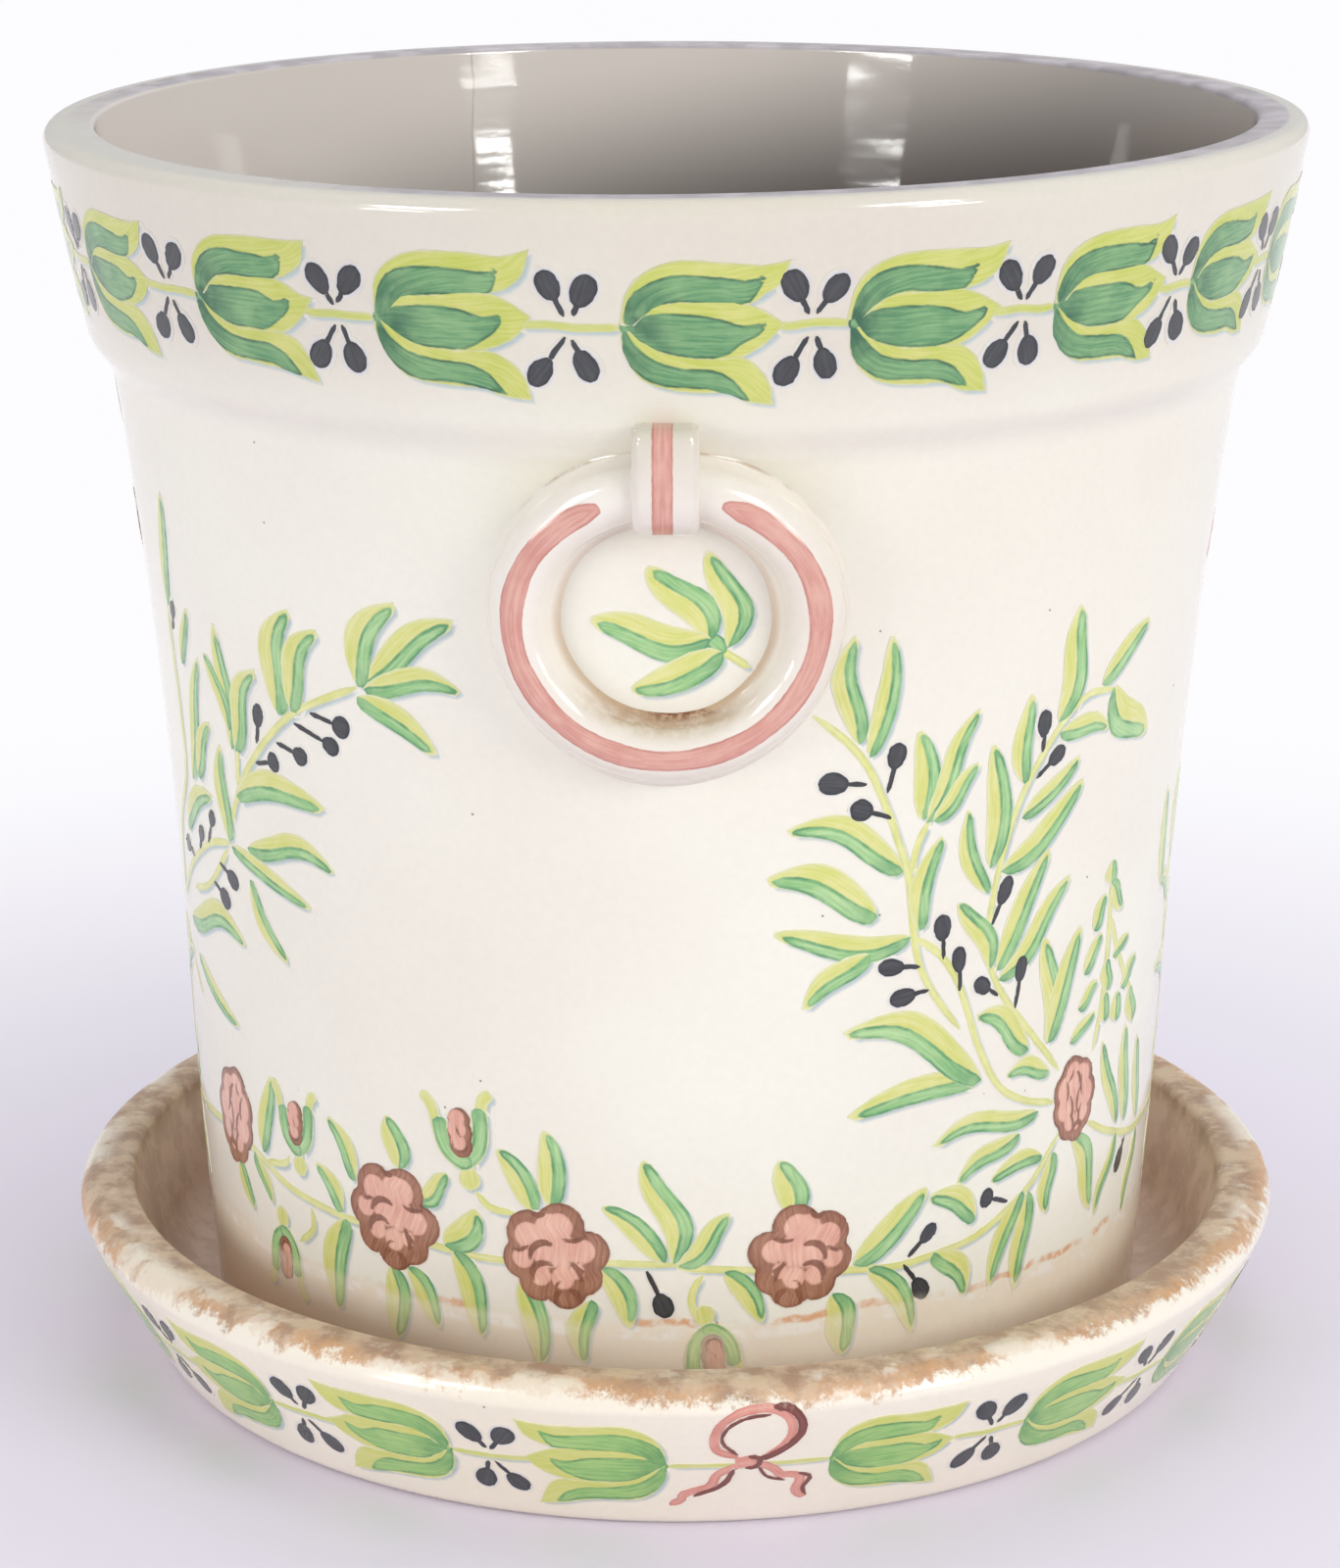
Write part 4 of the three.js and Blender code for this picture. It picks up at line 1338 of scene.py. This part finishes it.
shadows, leaves, stems, bleeds, berries = [[] for _ in range(5)]
for fuller, table in (
    (1.1, LEFT_LEAVES + RIGHT_LEAVES),
    (1.55, FERN_LEAVES),
    (1.1, GARLAND_LEAVES + FLANK_LEAVES),
    (1.25, SPRIG_LEAVES),
):
    for base_angle, base_z, tip_angle, tip_z, width, bend in table:
        chance = chances.uniform()
        lines = leaf_lines(
            at(base_angle, base_z), at(tip_angle, tip_z), fuller * width, bend,
            chances.uniform(0.93, 0.975), chances.uniform(-0.06, 0.015),
        )
        leaves.append(brush_mark(*lines, chance, 16, 9))
        shadows.append(shadow_of(*lines[:2], chance, 12))
knot = oval_lines(at(4.75, 242.4), at(7.0, 236.0), 6.4, 4.4)
leaves.append(brush_mark(*knot, closed(*knot), 0.3, 10, 8))
for path in LEFT_STEMS + RIGHT_STEMS + GARLAND_STEMS + FLANK_STEMS + (SPRIG_STEM,):
    points = [at(*place) for place in path]
    rows = max(6, int(lengths_along(points)[-1] / 3.5))
    lines = stem_lines(points, 2.1)
    stems.append(brush_mark(*lines, None, chances.uniform(), rows, 4))
    shadows.append(shadow_of(*lines, chances.uniform(), rows))
for angle, z, tail_angle, tail_z, long, wide in BERRIES:
    chance = chances.uniform()
    spot, tail = at(angle, z), at(tail_angle, tail_z)
    stalk = stem_lines((spot + 0.2 * (tail - spot), (spot + tail) / 2 + (0.2, 0.1), tail), 1.25)
    berry, bleed = berry_marks(spot, tail, stalk, long, wide, 1.8, chance)
    berries += berry
    bleeds += bleed
for name, marks, level, paint, slot in (
    ("body_shadows", shadows, 0.05, shadow_paint, "leaf_paint"),
    ("body_berry_bleed", bleeds, 0.09, bleed_paint, "berry_paint"),
    ("body_stems", stems, 0.13, stem_paint, "leaf_paint"),
    ("body_leaves", leaves, 0.17, leaf_paint, "leaf_paint"),
    ("body_berries", berries, 0.22, berry_paint, "berry_paint"),
):
    sheet = lay_marks(name + "_front", marks, paint, on_body, level)
    for piece in (sheet, half_turn(sheet, name + "_back")):
        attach(piece, "pot")


# The roses and buds. A rose is one round brown silhouette of lobes, filled with pink while wet,
# with short brown strokes curled over it for its petals. A bud is an oval between two sepals.
# A lobe or petal is a round place and its radius; a curl has its middle, radius, ends and width.
ROSE_LOBES = (
    (0, 0, 9.5), (1.9, 7.9, 6.6), (-6.6, 6, 6.4), (-8.9, -1, 5.7), (-5.4, -7.2, 5.2),
    (2, -8.8, 5.7), (7, -5.6, 5.2), (9, 1.2, 5.6),
)
ROSE_PETALS = (
    (-0.8, 7.4, 4.5), (1.6, 8, 4), (-7.1, 5.5, 3.9), (-9.1, -0.6, 3.2), (-2, 1.4, 5),
    (2.4, 1.4, 4.6), (7.5, 1.4, 3.6), (-4.6, -5.4, 3.1), (1.4, -6, 3.4), (5.4, -4.1, 2.5),
)
ROSE_CURLS = (
    (-2.8, -0.6, 4.2, 182, 66, 1.15), (-3.2, -5.6, 3.7, 200, 58, 1.1),
    (4.6, 10.6, 6.4, 250, 308, 0.85), (8.6, 0.2, 4.6, 200, 258, 0.8),
    (1.8, -6.2, 4.6, 66, -8, 0.95), (-10.4, 5.4, 4, 250, 312, 0.8),
    (-3.6, 13.6, 2.6, 225, 305, 0.9), (1.4, -12.2, 2.6, 200, 110, 0.9),
    (2.8, -12, 2.6, 80, -20, 1.1), (1, -8.6, 1.6, 210, 70, 0.55),
)
OVAL_LOBES = (
    (0.6, 7.6, 5.6), (-3.4, 4.6, 6), (4, 4, 6), (-4.8, -1, 6), (4.9, -1.6, 5.8), (-3.2, -6.4, 5.4),
    (3.4, -6.8, 5.2), (0.2, -9.6, 4.2), (0, 0, 9),
)
OVAL_PETALS = (
    (0.6, 8, 3.8), (-3.4, 4.8, 4.6), (3.9, 4.2, 4.6), (-4.8, -0.8, 4.5), (4.8, -1.4, 4.3),
    (0, 0.6, 5), (-2.9, -6, 3.5), (3.1, -6.4, 3.2), (0.2, -8.6, 2),
)
OVAL_CURLS = (
    (-8.6, -3, 8, -22, 38, 0.75), (9.8, -2.4, 8.2, 150, 204, 0.75),
    (-6.8, -7.4, 5.6, -40, 46, 0.75), (6.6, -7.6, 4.9, 140, 212, 0.8), (-11, 2.2, 8, -26, 24, 0.7),
    (10.6, 3.6, 7.2, 152, 206, 0.7), (0.6, 5, 3.2, 208, 130, 0.8), (3.4, 9.4, 3, 190, 262, 0.65),
    (-0.4, -10.8, 2.4, 160, 20, 1),
)
BUD_LOBES = ((0, 3.4, 3.2), (0.1, 0, 3.6), (0.2, -3.3, 3.3))
BUD_PETALS = ((-0.7, 3.9, 2.6), (-0.8, 0.8, 2.9), (-0.6, -2.6, 2.5))
BUD_CURLS = ((-0.1, -2.9, 2.2, 165, 395, 0.6), (2.6, 1.5, 3.4, 170, 235, 0.45))
# A rose or bud: the angle and height of its middle, its size and lean, and which way a rose opens.
ROSES = (
    (-60.8, 84.3, 1.14, -14, 1), (-32.1, 73.6, 1.07, -12, 1), (-12.3, 70, 1.07, 4, 1),
    (14.6, 70, 1.05, -4, -1), (51.8, 97.6, 0.98, 10, -1), (90.5, 76, 1, 5, 1),
)
BUDS = (
    (-23, 102.5, 1.08, 2), (-46.8, 92, 1, -4), (-50.6, 48.7, 1, 172), (5.1, 41.9, 1, 184),
)
BUD_KNOB = ((1.9, -12.0), (1.4, -7.0))
BUD_YELLOWS = (
    (3.3, ((-10.8, 9.8), (-8, 6.6), (-6.6, 1), (-5.2, -4), (-2.6, -7.2))),
    (3.4, ((9.8, 10.8), (7.2, 9.6), (6.4, 4.6), (6.8, -1))),
)
BUD_GREENS = (
    (4.7, ((5.7, 7), (6, 1.8), (5, -3.8), (1.2, -7.6), (-1.4, -7.4))),
    (4.7, ((-5.9, 3.6), (-5.4, -1.4), (-3.6, -5.2), (0.2, -7.8), (2.6, -6.6))),
)
ROSE_COATS = (
    (0, ("B6856C", "8D5C47", "68402F"), 0.3, 0.6, 1.0, 0.3, 0.01, 0.0),
    (1, ("F2C6B0", "DCA08E", "BF7F6E"), 0.6, 0.35, 1.0, 0.0, 0.01, 0.0),
    (2, ("9C6A53", "80503C", "61392B"), 0.5, 0.4, 0.94, 0.1, 0.01, 0.0),
)


def lobe_inset(points, lobes):
    """How far each point lies inside the union of round lobes."""
    return np.max([r - np.hypot(points[:, 0] - x, points[:, 1] - y) for x, y, r in lobes], axis=0)


def curl_inset(points, curls):
    """How far each point lies inside the nearest curled stroke, which thins towards its ends."""
    found = np.full(len(points), -9.0)
    for x, y, radius, start, end, width in curls:
        t = np.linspace(0, 1, 15)
        turns = np.radians(start + (end - start) * t)
        line = np.stack([x + radius * np.cos(turns), y + radius * np.sin(turns)], axis=1)
        half = width * (0.35 + 0.65 * np.sin(np.pi * (0.1 + 0.75 * t)))
        gap = np.hypot(points[:, 0, None] - line[:, 0], points[:, 1, None] - line[:, 1])
        found = np.maximum(found, (half - gap).max(axis=1))
    return found


def flower_mark(centre, size, lean, flip, lobes, petals, curls, chance, rows, columns):
    """A rose or bud, whose points know how far they lie inside its lobes, petals and curls."""
    turns = np.radians(np.linspace(-90, 270, 121))
    reaches = []
    for turn in turns:
        best = 0.0
        for x, y, r in lobes:
            ahead = x * math.cos(turn) + y * math.sin(turn)
            room = r * r - x * x - y * y + ahead * ahead
            if room >= 0:
                best = max(best, ahead + math.sqrt(room))
        reaches.append(best)
    rim = np.stack([reaches * np.cos(turns), reaches * np.sin(turns)], axis=1)
    tilt = spin(lean)
    placed = (rim * (flip, 1)) @ tilt * size + centre
    shape, points, insets, brush = brush_mark(
        placed[:61], placed[60:][::-1], None, chance, rows, columns
    )
    local = ((points - centre) / size) @ tilt.T * (flip, 1)
    found = (lobe_inset(local, lobes), lobe_inset(local, petals), curl_inset(local, curls))
    return shape, points, np.stack(found, axis=1) * size, brush


rose_paint = painted_material("rose_paint", pot_ground, ROSE_COATS)
flowers, sepals, sepal_shadows = [], [], []
for angle, z, size, lean, flip in ROSES:
    shape = (ROSE_LOBES, ROSE_PETALS, ROSE_CURLS)
    if abs(angle) > 50:
        shape = (OVAL_LOBES, OVAL_PETALS, OVAL_CURLS)
    flowers.append(flower_mark(at(angle, z), size, lean, flip, *shape, chances.uniform(), 54, 44))
for angle, z, size, lean in BUDS:
    centre = at(angle, z)
    tilt = spin(lean) * size
    lines = oval_lines(*(np.array(BUD_KNOB) @ tilt + centre), 6.6 * size, 6.2 * size)
    sepals.append(brush_mark(*lines, None, chances.uniform(), 12, 9))
    sepal_shadows.append(shadow_of(*lines, 0.5, 12))
    for strokes, filled in ((BUD_YELLOWS, 0), (BUD_GREENS, 0.82)):
        for width, path in strokes:
            path = np.array(path) @ tilt + centre
            lines = stem_lines(path, width * size)
            sepal_shadows.append(shadow_of(*lines, 0.5, 12))
            stroke = closed(*stem_lines(path, width * size * filled)) if filled else None
            sepals.append(brush_mark(*lines, stroke, chances.uniform(), 14, 8))
    shape = (BUD_LOBES, BUD_PETALS, BUD_CURLS)
    flowers.append(flower_mark(centre, size, lean, 1, *shape, chances.uniform(), 26, 16))
for name, marks, level, paint, slot in (
    ("bud_shadows", sepal_shadows, 0.06, shadow_paint, "leaf_paint"),
    ("bud_sepals", sepals, 0.2, leaf_paint, "leaf_paint"),
    ("roses", flowers, 0.25, rose_paint, "rose_paint"),
):
    sheet = lay_marks(name + "_front", marks, paint, on_body, level, 5, 0.008)
    for piece in (sheet, half_turn(sheet, name + "_back")):
        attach(piece, "pot")


# The ribbon bows: two on the saucer's wall and one on each of the pot's flanks. Each is a few pink
# strokes with a brown one along the shaded side, tied over a stem.
BOW_PINK = (
    (2.5, ((-2.2, 2), (-7.7, 5.1), (-8.8, 9.8), (-7.2, 15.4), (-3.3, 19.3), (2.8, 20.9),
     (7.2, 20.1), (10.5, 16.9), (11.6, 12.2), (10.5, 7.5), (7.2, 3.5), (4, 1))),
    (2.7, ((-1.3, -1), (-4.8, -3.2), (-7.7, -5.6), (-8.8, -9.8), (-13.3, -12.2), (-16.6, -13.8),
     (-17.1, -16.4), (-20.4, -18.4))),
    (2.7, ((2, -0.6), (5.6, -1.8), (8.3, -3.9), (9.9, -6.3), (13.8, -6.9), (16, -8.7), (14.9, -13),
     (16, -16.1), (18.5, -16.6))),
    (4.6, ((-2.6, -0.6), (0, 0), (2.6, 0.4))),
)
BOW_BROWN = (
    (1, ((-2.2, 3), (-6.1, 7.5), (-6.6, 11.4), (-4.4, 15.4), (0, 18.1), (5.5, 18.9))),
    (2.3, ((6.1, 21), (10.5, 20.5), (13.6, 16.1), (14, 11.4), (11.6, 6.7), (7.2, 2.8), (3.4, 0.8))),
    (1.5, ((0.6, 2.2), (2.9, 1.8), (4, 0), (2.8, -2.2), (0, -2.6))),
    (1.6, ((-3, -2.6), (-4.6, -8), (-7.2, -11), (-11, -13), (-13.6, -14.6))),
    (1, ((3.6, -2), (6.2, -6.7), (11.6, -9))),
    (1.3, ((15, -6.2), (18.6, -8.3), (16.9, -13), (18.2, -16.4))),
)
PINK_COAT = (0, ("EDB2A2", "DA8F81", "C97A6C"), 0.35, 0.55, 1.0, 0.28, 0.01, 0.0)
BROWN_COAT = (0, ("93584E", "7D463E", "683832"), 0.3, 0.5, 1.0, 0.25, 0.01, 0.0)


def bow_marks(strokes, centre, size):
    """The strokes of one bow in one colour."""
    marks = []
    for width, path in strokes:
        line = np.array(path) * size + centre
        rows = max(8, int(lengths_along(line)[-1] / 1.6))
        marks.append(brush_mark(*stem_lines(line, width * size), None, chances.uniform(), rows, 6))
    return marks


for name, strokes, level, coat in (
    ("flank_bow_pink", BOW_PINK, 0.1, PINK_COAT),
    ("flank_bow_brown", BOW_BROWN, 0.15, BROWN_COAT),
):
    marks = bow_marks(strokes, at(90, 262), 1.35)
    paint = painted_material(name, pot_ground, (coat,))
    sheet = lay_marks(name + "_right", marks, paint, on_body, level)
    for piece in (sheet, half_turn(sheet, name + "_left")):
        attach(piece, "pot")


# The saucer's band. The collar's spray goes round the outer wall too, looser and paler, opening
# away from two bows that stand opposite each other.
SAUCER_FACE = 170.0
SAUCER_MIDDLE = 26.3
SAUCER_TURN = 7.16
SAUCER_LEAF_COATS = (
    (0, ("DEDD88", "CDD460", "B7C448"), 0.6, 0.25, 0.96, 0.36, 1.1, 0.01),
    (1, ("AED482", "7EB96D", "418B58"), 0.55, 0.92, 0.95, 0.3, 0.01, 0.75),
)
degree = math.radians(1) * SAUCER_FACE
wall = (section[:, 1] > 1) & (section[:, 0] > 155)
middle_run = np.interp(SAUCER_MIDDLE, section[wall][:14, 1], run[wall][:14])


def on_saucer(points, lift):
    """The place on the saucer's outer wall of points in mm round it and up its slope."""
    gone = middle_run + points[:, 1]
    spot, before, after = (
        np.array([np.interp(gone + step, run, column) for column in section.T])
        for step in (0, -0.5, 0.5)
    )
    ahead_r, ahead_z = after - before
    reach, height = spot[0] + lift * ahead_z, spot[1] - lift * ahead_r
    turn = points[:, 0] / SAUCER_FACE
    return np.stack([reach * np.sin(turn), -reach * np.cos(turn), height], axis=1) / 1000


groups = []
for way, first_base in ((1, 7.9), (-1, 7.1)):
    for k in range(4):
        base = (SAUCER_TURN + way * (first_base + 20.0 * k)) * degree
        groups.append(band_marks(base, -1.4, (20 if k < 3 else 22.4) * degree, 0.95, way))
shadows, leaves, stems, bleeds, berries = gathered(groups)
tie = stem_lines([((SAUCER_TURN + x) * degree, -1.2) for x in (-7.6, 0, 8.2)], 1.9)
stems.append(brush_mark(*tie, None, 0.4, 12, 4))
shadows.append(shadow_of(*tie, 0.4, 12))
bow_centre = (SAUCER_TURN * degree, 0.0)
pinks, browns = (bow_marks(strokes, bow_centre, 1.0) for strokes in (BOW_PINK, BOW_BROWN))
saucer_leaf_paint = painted_material("saucer_leaf_paint", stained_saucer, SAUCER_LEAF_COATS, True)
for name, marks, level, cycle, step, coat, slot in (
    ("saucer_leaf_shadows", shadows, 0.05, 4, 0.008, SHADOW_COAT, "leaf_paint"),
    ("saucer_berry_bleed", bleeds, 0.09, 8, 0.004, BLEED_COAT, "berry_paint"),
    ("saucer_stems", stems, 0.13, 1, 0.0, None, "leaf_paint"),
    ("saucer_leaves", leaves, 0.15, 3, 0.025, None, "leaf_paint"),
    ("saucer_berries", berries, 0.21, 2, 0.03, BERRY_COAT, "berry_paint"),
    ("saucer_bow_pink", pinks, 0.17, 6, 0.006, PINK_COAT, "rose_paint"),
    ("saucer_bow_brown", browns, 0.22, 6, 0.004, BROWN_COAT, "rose_paint"),
):
    paint = saucer_leaf_paint
    if coat:
        paint = painted_material(name, stained_saucer, (coat,), True)
    sheet = lay_marks(name + "_front", marks, paint, on_saucer, level, cycle, step)
    keep_value(sheet, "soiled", soiling(points_of(sheet)))
    for piece in (sheet, half_turn(sheet, name + "_back")):
        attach(piece, "saucer")

for blank in blanks.values():
    bpy.data.objects.remove(blank)


size = [list(corner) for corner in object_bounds()]
